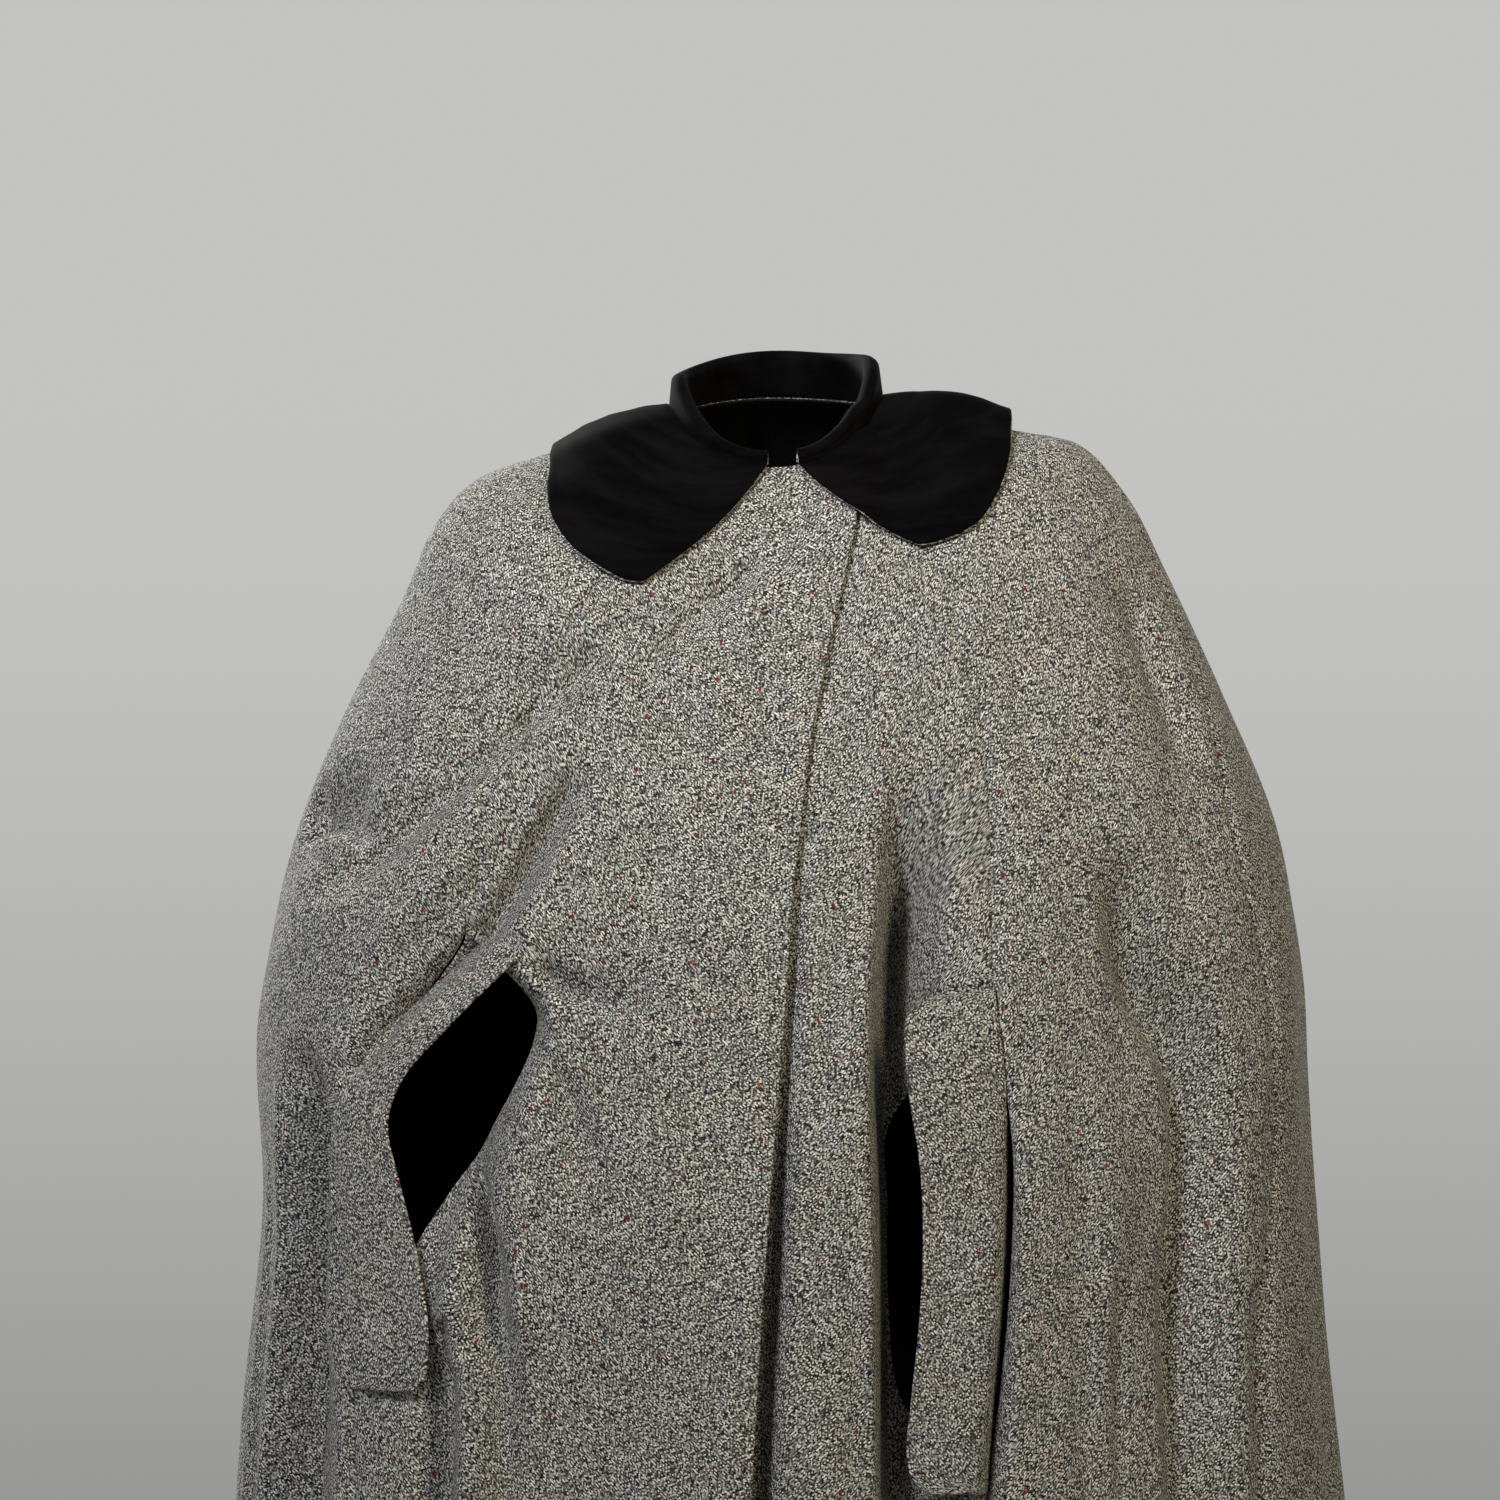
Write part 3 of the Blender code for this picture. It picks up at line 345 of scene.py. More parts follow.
def foldHeight(fold, bearing, drop):   # a rounded bell across the path, fading along it
    _, height, right, left, spread, comes, goes, path = fold
    drops, bearings = zip(*path)
    share = np.linspace(0, 1, len(path))
    fine = np.linspace(0, 1, 6 * len(path) - 5)
    pathDrop, pathBearing = spline(share, drops, fine), spline(share, bearings, fine)
    first = pathBearing[0]
    turned = (bearing - first + 180) % 360 - 180
    pathAcross = np.radians(pathBearing - first) * reach(pathBearing, pathDrop)
    across = np.radians(turned) * reach(bearing, drop)
    widest = max(right, left) * max(spread, 1.0)
    near = ((across > pathAcross.min() - widest) & (across < pathAcross.max() + widest)
            & (drop > pathDrop.min() - widest) & (drop < pathDrop.max() + widest))
    result = np.zeros(across.shape)
    if not near.any():
        return result
    a, d = across[near], drop[near]
    nearest = np.full(a.shape, 9.0)
    side = np.zeros(a.shape)
    along = np.zeros(a.shape)
    for i in range(len(fine) - 1):
        run = pathAcross[i + 1] - pathAcross[i]
        fall = pathDrop[i + 1] - pathDrop[i]
        offA, offD = a - pathAcross[i], d - pathDrop[i]
        part = np.clip((offA * run + offD * fall) / (run * run + fall * fall), 0, 1)
        away = np.hypot(offA - part * run, offD - part * fall)
        closer = away < nearest
        nearest = np.where(closer, away, nearest)
        side = np.where(closer, offA * fall - offD * run, side)
        along = np.where(closer, (i + part) / (len(fine) - 1), along)
    width = np.where(side < 0, right, left) * (1 + (spread - 1) * along)
    bell = 0.5 + 0.5 * np.cos(np.pi * np.clip(nearest / width, 0, 1))
    fade = smooth(along / max(comes, 1e-6)) * smooth((1 - along) / max(goes, 1e-6))
    result[near] = height * bell * fade
    return result


def lapLift(bearing, drop):
    bearing = (bearing + 180) % 360 - 180
    out = reach(bearing, drop)
    fromUnderlap = np.radians(bearing - bearingOf(lines["underlapEdge"], drop)) * out
    pastEdge = np.radians(bearing - bearingOf(lines["frontEdge"], drop)) * out
    return (coat["lapLift"] * smooth(1 + fromUnderlap / coat["lapFade"])
            * smooth(1 - pastEdge / coat["edgeFade"]))


def unevenness(bearing, drop):    # slow swells of the cloth, the same in every piece
    angle = np.radians(bearing)
    calm = smooth(drop / 0.05)
    swell = np.sin(9 * angle + 14 * drop + 1.3) * np.sin(23 * drop - 4 * angle + 0.4)
    ripple = np.sin(21 * angle + 31 * drop + 1.7 * np.sin(17 * drop))
    return calm * (coat["swell"] * swell + coat["ripple"] * ripple)


def seamPucker(bearing, drop):    # short ripples beside the sewn seams
    total = np.zeros(np.shape(bearing))
    for name, phase in (("princessRight", 0.0), ("princessLeft", 1.9), ("sideRight", 3.1),
                        ("sideLeft", 4.4)):
        off = (bearing - bearingOf(lines[name], drop) + 180) % 360 - 180
        away = np.radians(off) * reach(bearing, drop)
        wave = np.sin(2 * np.pi * drop / coat["puckerPitch"] + 2.2 * np.sin(37 * drop + phase) + phase)
        total = total + coat["puckerHeight"] * wave * np.exp(-(away / coat["puckerReach"]) ** 2)
    return total


def clothPoint(panel, bearing, drop):
    bearing, drop = np.broadcast_arrays(np.asarray(bearing, float), np.asarray(drop, float))
    rise = unevenness(bearing, drop) + seamPucker(bearing, drop)
    for fold in folds + creases:
        if panel in fold[0]:
            rise = rise + foldHeight(fold, bearing, drop)
    if panel in recesses:
        side, recess = recesses[panel]
        opened = smooth((drop - slits[side]["top"]) / recessStart) ** 2
        rise = rise + foldHeight(recess, bearing, drop) * opened
    if panel in ("frontRight", "collar"):
        rise = rise + lapLift(bearing, drop)
    return plainPoint(bearing, drop) + rise[..., None] * plainNormal(bearing, drop)


def degreeLength(bearing, drop):
    return np.linalg.norm(plainPoint(bearing + 0.5, drop) - plainPoint(bearing - 0.5, drop), axis=-1)


def gridNormals(points):          # outward, where columns run to the wearer's left
    downIt = np.gradient(points, axis=0)
    roundIt = np.gradient(points, axis=1)
    out = np.cross(downIt, roundIt)
    return out / np.maximum(np.linalg.norm(out, axis=-1, keepdims=True), 1e-12)


def clothUv(points, turn, origin, bearings=None, drops=None, grain=None, hand=1):
    # metres along the cloth: across from the grain line, a steady bearing, and down it
    step = np.linalg.norm(np.diff(points, axis=1), axis=-1)
    u = np.concatenate([np.zeros((len(points), 1)), np.cumsum(step, axis=1)], axis=1)
    if grain is None:
        middle = points.shape[1] // 2
        start = u[:, middle]
        fall = np.linalg.norm(np.diff(points[:, middle], axis=0), axis=-1)
    else:
        start = np.array([np.interp(grain, b, row) for b, row in zip(bearings, u)])
        beyond = grain - np.clip(grain, bearings[:, 0], bearings[:, -1])
        start = start + beyond * degreeLength(grain + 0 * drops, drops)
        fall = np.linalg.norm(np.diff(plainPoint(grain + 0 * drops, drops), axis=0), axis=-1)
    u = hand * (u - start[:, None])
    v = -np.concatenate([[0.0], np.cumsum(fall)])[:, None] + 0 * u
    angle = math.radians(turn)
    return np.stack([u * math.cos(angle) - v * math.sin(angle) + origin[0],
                     u * math.sin(angle) + v * math.cos(angle) + origin[1]], -1)


def shellMesh(name, outer, inner, uv, look, insideShade=None):
    # one closed wall between two grids that share their border points
    rows, columns = outer.shape[:2]
    number = np.arange(rows * columns).reshape(rows, columns)
    under = number.copy()
    under[1:-1, 1:-1] = rows * columns + np.arange((rows - 2) * (columns - 2)).reshape(rows - 2, -1)
    points = np.concatenate([outer.reshape(-1, 3), inner[1:-1, 1:-1].reshape(-1, 3)])
    spots = np.concatenate([uv.reshape(-1, 2), uv[1:-1, 1:-1].reshape(-1, 2)])
    face = np.stack([number[:-1, :-1], number[1:, :-1], number[1:, 1:], number[:-1, 1:]], -1)
    back = np.stack([under[:-1, :-1], under[:-1, 1:], under[1:, 1:], under[1:, :-1]], -1)
    faces = np.concatenate([face.reshape(-1, 4), back.reshape(-1, 4)])
    mesh = bpy.data.meshes.new(name)
    mesh.vertices.add(len(points))
    mesh.vertices.foreach_set("co", points.ravel())
    mesh.loops.add(faces.size)
    mesh.loops.foreach_set("vertex_index", faces.ravel().astype(np.int32))
    mesh.polygons.add(len(faces))
    mesh.polygons.foreach_set("loop_start", np.arange(0, faces.size, 4, dtype=np.int32))
    mesh.update(calc_edges=True)
    layer = mesh.uv_layers.new(name="clothMetres")
    layer.data.foreach_set("uv", spots[faces.ravel()].ravel())
    mesh.shade_smooth()
    mesh.materials.append(look)
    if insideShade:                   # the inside of the cloth, past its turned edges, gets a near-black material as painted shade
        mesh.materials.append(insideShade)
        deep = np.zeros(back.shape[:2], int)
        turned = coat["turnedRows"]
        deep[:-turned, turned:-turned] = 1
        index = np.concatenate([np.zeros(deep.size, int), deep.ravel()])
        mesh.polygons.foreach_set("material_index", index.astype(np.int32))
    mesh.validate()
    piece = bpy.data.objects.new(name, mesh)
    bpy.context.collection.objects.link(piece)
    return piece


def edgeProfile(points, radii):   # 0 on the four borders, 1 further in than each one's radius
    acrossStep = np.linalg.norm(np.diff(points, axis=1), axis=-1)
    downStep = np.linalg.norm(np.diff(points, axis=0), axis=-1)
    fromFirst = np.concatenate([np.zeros((len(points), 1)), np.cumsum(acrossStep, axis=1)], axis=1)
    fromTop = np.concatenate([np.zeros((1, points.shape[1])), np.cumsum(downStep, axis=0)], axis=0)
    far = [fromTop, fromTop[-1:] - fromTop, fromFirst, fromFirst[:, -1:] - fromFirst]
    profile = np.ones(points.shape[:2])
    for away, radius in zip(far, radii):
        profile = profile * np.sqrt(1 - (1 - np.clip(away / radius, 0, 1)) ** 2)
    return profile


def seamDip(points, drops, sewn, drawn):   # towards sewn side edges, but not along an open slit
    step = np.linalg.norm(np.diff(points, axis=1), axis=-1)
    away = np.concatenate([np.zeros((len(points), 1)), np.cumsum(step, axis=1)], axis=1)
    shut = np.ones(len(drops))
    if drawn:
        shut = 1 - ((drops > slits[drawn]["top"]) & (drops < slits[drawn]["bottom"]))
    first = shut if drawn == "right" else 1.0
    last = shut if drawn == "left" else 1.0
    dip = np.zeros(points.shape[:2])
    for far, held, open_ in ((away, sewn[0], first), (away[:, -1:] - away, sewn[1], last)):
        if held:
            here = np.broadcast_to(np.reshape(open_, (-1, 1)), dip.shape)
            dip = dip + coat["seamDip"] * np.exp(-(far / coat["dipWidth"])) * here
    return dip


def wallGrids(middle, thickness, radii, groove=None):
    out = gridNormals(middle)
    half = thickness / 2 * edgeProfile(middle, radii)
    sunk = half if groove is None else half - groove * (half > 0.4 * thickness)
    return middle + out * sunk[..., None], middle - out * half[..., None]


panelGrid = {
    "rowStep": 0.0033,
    "columnStep": 0.0030,
    "backColumnStep": 0.0068,
    "seamOffsets": [0.00012, 0.00045, 0.0010, 0.0019],
    "edgeOffsets": [0.00015, 0.0006, 0.0012, 0.0019, 0.0025, 0.0031, 0.0037, 0.0046],
    "stitchOffset": 0.0031,
    "stitchDepth": 0.00045,
    "stitchWidth": 0.0007,
}


def panelDrops():
    ends = sorted([0.0, coat["length"]] + [slits[s][k] for s in slits for k in ("top", "bottom")])
    rows = []
    for start, end in zip(ends[:-1], ends[1:]):
        count = max(2, round((end - start) / panelGrid["rowStep"]))
        rows.append(np.linspace(start, end, count + 1)[:-1])
    rows = np.append(np.concatenate(rows), coat["length"])
    near = np.array(panelGrid["seamOffsets"])
    return np.unique(np.concatenate([rows, near, coat["length"] - near]))


def panelBearings(guides, drops, step, stitched=None, drawn=None):   # columns between guides
    edges = [bearingOf(lines[name], drops) for name in guides]
    if drawn:
        slit = slits[drawn]
        within = (drops > slit["top"] + 1e-5) & (drops < slit["bottom"] - 1e-5)
        edge = 0 if drawn == "right" else -1
        edges[edge] = np.where(within, bearingOf(slit["drawnBack"], drops), edges[edge])
    first = panelGrid["edgeOffsets" if stitched == "first" else "seamOffsets"]
    last = panelGrid["edgeOffsets" if stitched == "last" else "seamOffsets"]
    firstDegree = degreeLength(edges[0], drops)
    lastDegree = degreeLength(edges[-1], drops)
    columns = [edges[0]] + [edges[0] + off / firstDegree for off in first]
    stops = edges[1:-1] + [edges[-1] - last[-1] / lastDegree]
    start = columns[-1]
    for stop in stops:
        wide = np.abs(stop - start) * degreeLength((start + stop) / 2, drops)
        count = max(2, int(np.ceil(np.percentile(wide, 75) / step)))
        for share in np.linspace(0, 1, count + 1)[1:]:
            columns.append(start * (1 - share) + stop * share)
        start = stop
    columns += [edges[-1] - off / lastDegree for off in last[-2::-1]]
    columns.append(edges[-1])
    return np.stack(columns, axis=1)


def panelPiece(name, node, guides, look, weave, stitched=None, drawn=None):
    drops = panelDrops()
    step = panelGrid["backColumnStep" if node == "back" else "columnStep"]
    bearings = panelBearings(guides, drops, step, stitched, drawn)
    rows = np.broadcast_to(drops[:, None], bearings.shape)
    panel = {"front_right": "frontRight", "front_left": "frontLeft", "back": "back",
             "side_front_right": "sideFrontRight", "side_front_left": "sideFrontLeft"}[node]
    middle = clothPoint(panel, bearings, rows)
    sewn = (stitched != "first", stitched != "last")
    middle = middle - gridNormals(middle) * seamDip(middle, drops, sewn, drawn)[..., None]
    seam, turned = coat["seamRound"], coat["edgeRound"]
    radii = [seam, turned, turned if stitched == "first" else seam,
             turned if stitched == "last" else seam]
    groove = None
    if stitched:
        step = np.linalg.norm(np.diff(middle, axis=1), axis=-1)
        away = np.concatenate([np.zeros((len(middle), 1)), np.cumsum(step, axis=1)], axis=1)
        away = away[:, -1:] - away if stitched == "last" else away
        beside = (away - panelGrid["stitchOffset"]) / panelGrid["stitchWidth"]
        groove = panelGrid["stitchDepth"] * np.exp(-beside ** 2)
    outer, inner = wallGrids(middle, coat["wall"], radii, groove)
    grain, turn, origin, hand = weave
    uv = clothUv(middle, turn, origin, bearings, drops, grain, hand)
    piece = shellMesh(name, outer, inner, uv, look, paintedInsideShade)
    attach(piece, "root")
    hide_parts(node)
    facesIn = np.linalg.norm(np.cross(outer[1:, 1:] - outer[:-1, :-1], outer[1:, :-1] - outer[:-1, 1:]),
                             axis=-1).sum() / 2
    print(f"cape coat: {name}, {outer.shape[0]} x {outer.shape[1]} points, {facesIn:.3f} m2")
    return outer


weltLook = {
    "rowStep": 0.0034,
    "columnStep": 0.0034,
    "sewnLift": 0.0016,        # less lift where the welt comes out of the seam
    "sewnFade": 0.012,
    "edgeRoll": 0.0008,        # the free edge stands off the coat
    "rollFade": 0.010,
    "edgeRoundShare": 1.1,     # of the coat's own edge radius
    "edgeBands": 0.0083,       # width taken by the close columns at both edges
    "stitchOffset": 0.0046,
    "stitchDepth": 0.0003,
    "stitchWidth": 0.0008,
    "edgeOffsets": [0.00015, 0.0006, 0.0012, 0.0020, 0.0030, 0.0039, 0.0046, 0.0053, 0.0064],
}


def weltPiece(name, side, look, turn, origin):
    slit = slits[side]
    length = slit["bottom"] - slit["top"]
    endOffsets = np.array([0, 0.00015, 0.0006, 0.0012, 0.0022, 0.0034, 0.0050, 0.0072, 0.0098,
                           0.0128, 0.0160])
    end = endOffsets[-1]
    inside = np.linspace(end, length - end, round((length - 2 * end) / weltLook["rowStep"]))
    share = np.concatenate([endOffsets[:-1], inside, length - endOffsets[-2::-1]]) / length
    sewnDrop = slit["top"] + length * share
    freeDrop = slit["free"][0][0] + (slit["free"][-1][0] - slit["free"][0][0]) * share
    free = bearingOf(slit["free"], freeDrop)
    sewn = bearingOf(lines[slit["seam"]], sewnDrop)
    wide = np.abs(free - sewn) * degreeLength(free, freeDrop)
    top = np.clip(1 - share * length / slit["topRadius"], 0, 1)
    bottom = np.clip(1 - (1 - share) * length / slit["bottomRadius"], 0, 1)
    cut = (slit["topRadius"] * (1 - np.sqrt(1 - top ** 2))
           + slit["bottomRadius"] * (1 - np.sqrt(1 - bottom ** 2)))
    whole = (wide - cut)[:, None]
    nearSewn, nearFree = np.array([panelGrid["seamOffsets"]]), np.array([weltLook["edgeOffsets"]])
    count = round((wide.mean() - weltLook["edgeBands"]) / weltLook["columnStep"])
    between = np.linspace(0, 1, count + 1)[None, 1:-1]
    stretch = whole - nearSewn[:, -1:] - nearFree[:, -1:]
    away = np.concatenate([0 * whole, nearSewn + 0 * whole, nearSewn[:, -1:] + stretch * between,
                           whole - nearFree[:, ::-1], whole], axis=1)
    across = away / wide[:, None]
    bearings = sewn[:, None] * (1 - across) + free[:, None] * across
    drops = sewnDrop[:, None] * (1 - across) + freeDrop[:, None] * across
    middle = clothPoint("weltRight" if side == "right" else "weltLeft", bearings, drops)
    if side == "left":
        middle, away = middle[:, ::-1], away[:, ::-1]
    out = gridNormals(middle)
    lift = coat["weltLift"] - weltLook["sewnLift"] * (1 - smooth(away / weltLook["sewnFade"]))
    fromFree = whole - away
    lift = lift + weltLook["edgeRoll"] * (1 - smooth(fromFree / weltLook["rollFade"]))
    middle = middle + out * lift[..., None]
    beside = (fromFree - weltLook["stitchOffset"]) / weltLook["stitchWidth"]
    groove = weltLook["stitchDepth"] * np.exp(-beside ** 2)
    turned, seam = coat["edgeRound"] * weltLook["edgeRoundShare"], coat["seamRound"]
    radii = [turned, turned, seam, turned] if side == "right" else [turned, turned, turned, seam]
    outer, inner = wallGrids(middle, coat["wall"], radii, groove)
    piece = shellMesh(name, outer, inner, clothUv(middle, turn, origin), look)
    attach(piece, "root")
    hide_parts("welt_" + side)
    print(f"cape coat: {name}, {outer.shape[0]} x {outer.shape[1]} points")
    return outer


# the collar, station by station round the neck from the right front tip by way of the back:
# bearing at the neck (by the wearer's right), stand, drop and bearing of the outer edge, how far
# the edge and the middle of the fall stand off, and the bow between neck and edge in degrees
collarColumns = "neck stand edgeDrop edge lift puff bow".split()
collarStations = np.array([
    (3.0, 0.008, 0.092, 33.5, 0.000, 0.000, 4.0),
    (8.0, 0.008, 0.098, 37.2, 0.000, 0.001, 2.5),
    (16.0, 0.009, 0.101, 42.5, 0.000, 0.002, 1.0),
    (27.0, 0.011, 0.101, 49.5, 0.000, 0.003, 0.0),
    (40.0, 0.014, 0.095, 56.0, 0.000, 0.004, 0.0),
    (54.0, 0.016, 0.083, 63.0, 0.000, 0.006, 0.0),
    (70.0, 0.018, 0.068, 73.0, 0.000, 0.008, 0.0),
    (90.0, 0.020, 0.060, 90.0, 0.000, 0.008, 0.0),
    (120.0, 0.023, 0.066, 120.0, 0.002, 0.006, 0.0),
    (150.0, 0.025, 0.074, 150.0, 0.001, 0.004, 0.0),
    (180.0, 0.026, 0.076, 180.0, 0.001, 0.003, 0.0),
    (210.0, 0.026, 0.074, 210.0, 0.001, 0.004, 0.0),
    (236.0, 0.027, 0.066, 236.0, 0.001, 0.008, 0.0),
    (256.0, 0.027, 0.058, 257.0, 0.000, 0.010, 0.0),
    (268.0, 0.025, 0.062, 268.0, 0.005, 0.005, 0.0),
    (281.0, 0.022, 0.064, 278.0, 0.007, 0.009, 0.0),
    (294.0, 0.019, 0.070, 286.0, 0.003, 0.006, 0.0),
    (306.0, 0.016, 0.080, 294.5, 0.000, 0.003, 0.0),
    (318.0, 0.014, 0.091, 302.5, 0.000, 0.002, 0.0),
    (329.0, 0.011, 0.098, 309.0, 0.000, 0.001, 0.0),
    (339.0, 0.009, 0.097, 314.0, 0.000, 0.001, -1.0),
    (346.0, 0.008, 0.091, 318.5, 0.000, 0.000, -2.5),
    (351.0, 0.008, 0.084, 322.0, 0.000, 0.000, -4.0),
])
collarLook = {
    "stations": 170,
    "rollRadius": 0.0035,
    "standLean": 0.45,
    "underRim": 0.0010,
    "ease": 0.0012,
    "fallStep": 0.0038,
    "rollSteps": 9,
    "tipOffsets": [0.00015, 0.0005, 0.0011],     # along the neck at both front tips
    "velvetRound": 0.0009,
    "plump": 0.0006,           # how much thicker the velvet's turned edge is
    "plumpFrom": 0.0022,
    "plumpWidth": 0.0018,
    "edgeWave": 0.00025,
    "edgeWaveFade": 0.02,
}


def collarGrid(rim):              # the sheet between the two layers, with its outward normals
    index = np.linspace(0, len(collarStations) - 1, collarLook["stations"])
    tips = np.array([0.010, 0.035, 0.080])
    index = np.unique(np.concatenate([index, tips, index[-1] - tips]))
    known = np.arange(len(collarStations))
    column = {key: spline(known, collarStations[:, i], index) for i, key in enumerate(collarColumns)}
    neck = -column["neck"]
    base = clothPoint("collar", neck, np.zeros(len(index)))
    angle = np.radians(neck)
    out = np.stack([np.sin(angle), -np.cos(angle), 0 * angle], -1)
    up = np.array([0.0, 0.0, 1.0])
    radius = collarLook["rollRadius"]
    lean = collarLook["standLean"] * (column["stand"] - column["stand"].min())
    roll = base + up * (column["stand"] - radius)[:, None] + out * (radius - lean)[:, None]
    foot = base + up * (coat["wall"] / 2 + coat["seamGap"])
    over = [roll + radius * (up * np.sin(turn) - out * np.cos(turn))
            for turn in np.linspace(0, np.pi, collarLook["rollSteps"])]
    curve = [foot * (1 - share) + over[0] * share for share in (0, 0.02, 0.08, 0.2, 0.4, 0.7)] + over
    clearance = coat["wall"] / 2 + collarLook["ease"] + coat["collarWall"] + coat["seamGap"] / 2
    mean = column["edgeDrop"].mean()
    steps = np.linspace(0, 1, round(mean / collarLook["fallStep"]) + 1)[1:-1]
    steps = np.concatenate([0.35 * steps[:1], steps, 1 - np.array([0.022, 0.012, 0.005, 0.0015, 0])])
    for share in steps:
        bearing = neck - (column["edge"] - column["neck"]) * share
        bearing = bearing - column["bow"] * np.sin(np.pi * share)
        drop = column["edgeDrop"] * share
        height = column["lift"] * share ** 2 + column["puff"] * np.sin(np.pi * share)
        plain = clothPoint("collar", bearing, drop)
        curve.append(plain + (clearance + height)[:, None] * plainNormal(bearing, drop))
    grid = np.stack(curve)
    last = grid[-1] - grid[-2]
    grid[-1] += rim * last / np.linalg.norm(last, axis=-1, keepdims=True)
    return grid[:, ::-1]


def collarPiece(name, node, layer, look, turn):
    grid = collarGrid(collarLook["underRim"] if layer < 0 else 0.0)
    face = gridNormals(grid)
    profile = edgeProfile(grid, [collarLook["velvetRound"]] * 4)
    middle = grid + face * layer * (coat["seamGap"] / 2 + coat["collarWall"] / 2)
    half = coat["collarWall"] / 2 * profile
    bulge = 0 * half
    if layer > 0:
        fall = np.linalg.norm(np.diff(grid, axis=0), axis=-1)
        toEdge = np.concatenate([np.cumsum(fall[::-1], axis=0)[::-1], np.zeros((1, grid.shape[1]))])
        swelling = np.exp(-((toEdge - collarLook["plumpFrom"]) / collarLook["plumpWidth"]) ** 2)
        station = np.arange(grid.shape[1])
        wave = np.sin(station * 0.31 + 0.4 * np.sin(station * 0.13))
        fade = np.exp(-(toEdge / collarLook["edgeWaveFade"]) ** 2)
        bulge = collarLook["plump"] * swelling * profile
        bulge = bulge + collarLook["edgeWave"] * profile * wave * fade
    outer, inner = middle + face * (half + bulge)[..., None], middle - face * half[..., None]
    uv = clothUv(middle, turn, (0.3, 0.2))
    piece = shellMesh(name, outer, inner, uv, look)
    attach(piece, "root")
    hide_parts(node)
    print(f"cape coat: {name}, {outer.shape[0]} x {outer.shape[1]} points")


def nodeTree(name):
    look = bpy.data.materials.new(name)
    look.use_nodes = True
    nodes = look.node_tree.nodes
    nodes.clear()
    shader = nodes.new("ShaderNodeBsdfPrincipled")
    output = nodes.new("ShaderNodeOutputMaterial")
    look.node_tree.links.new(shader.outputs["BSDF"], output.inputs["Surface"])
    return look, look.node_tree, shader


def add(tree, kind, **settings):
    node = tree.nodes.new("ShaderNode" + kind)
    for key, value in settings.items():
        setattr(node, key, value)
    return node


def put(tree, value, socket):     # a link or a plain value
    if hasattr(value, "is_output"):
        tree.links.new(value, socket)
    else:
        socket.default_value = value


def mathNode(tree, operation, *values):
    node = add(tree, "Math", operation=operation)
    for value, socket in zip(values, node.inputs):
        put(tree, value, socket)
    return node.outputs[0]


def vectorNode(tree, operation, *values):
    node = add(tree, "VectorMath", operation=operation)
    for value, socket in zip(values, node.inputs):
        put(tree, value, socket)
    return node.outputs[0]


def mixValue(tree, factor, first, second):
    node = add(tree, "Mix")
    put(tree, factor, node.inputs[0])
    put(tree, first, node.inputs[2])
    put(tree, second, node.inputs[3])
    return node.outputs[0]


def mixColour(tree, factor, first, second, blend="MIX"):
    node = add(tree, "Mix", data_type="RGBA", blend_type=blend)
    put(tree, factor, node.inputs["Factor"])
    put(tree, first, node.inputs[6])
    put(tree, second, node.inputs[7])
    return node.outputs[2]


def noise(tree, place, scale, detail=None):
    node = add(tree, "TexNoise", noise_dimensions="2D")
    put(tree, place, node.inputs["Vector"])
    node.inputs["Scale"].default_value = scale
    if detail is not None:
        node.inputs["Detail"].default_value = detail
    return node


def ramp(tree, value, stops, interpolation="LINEAR"):
    node = add(tree, "ValToRGB")
    band = node.color_ramp
    band.interpolation = interpolation
    while len(band.elements) < len(stops):
        band.elements.new(0.5)
    for element, (place, colour) in zip(band.elements, stops):
        element.position = place
        element.color = (*colour, 1) if hasattr(colour, "__len__") else (colour, colour, colour, 1)
    put(tree, value, node.inputs["Fac"])
    return node.outputs["Color"]


tweedLook = {
    "twillAngle": 52.0,          # of the lines, falling to the right on the cloth
    "yarnAcross": 0.00076,       # metres
    "yarnAlong": 0.00098,
    "twillShare": 0.17,          # how much of the brightness follows the twill lines
    "yarns": [(0.00, (0.004, 0.004, 0.004)), (0.28, (0.030, 0.029, 0.028)),
              (0.48, (0.135, 0.132, 0.126)), (0.66, (0.360, 0.354, 0.334)),
              (0.84, (0.660, 0.646, 0.602)), (1.00, (0.950, 0.930, 0.865))],
    "swayScale": 60.0,           # how fast the yarns wander, and how far in metres
    "sway": 0.0012,
    "rowShift": 0.381,           # each yarn starts elsewhere
    "loneShare": 0.45,
    "fibreScale": 900.0,
    "fibre": 0.2,
    "mottleScale": 130.0,
    "warmScale": 28.0,
    "fleckCell": 0.0044,
    "fleckStretch": (0.58, 1.12, 1.0),
    "fleckSize": (0.12, 0.09),   # range, and the smallest
    "fleckBreak": 0.25,
    "flecks": ((0.00, 0.050, "red"), (0.10, 0.150, "navy"), (0.20, 0.207, "rust")),
    "red": (0.220, 0.010, 0.012),
    "navy": (0.012, 0.016, 0.085),
    "rust": (0.300, 0.110, 0.035),
    "mottle": 0.06,
    "bump": 0.00015,
    "roughness": 0.88,
}


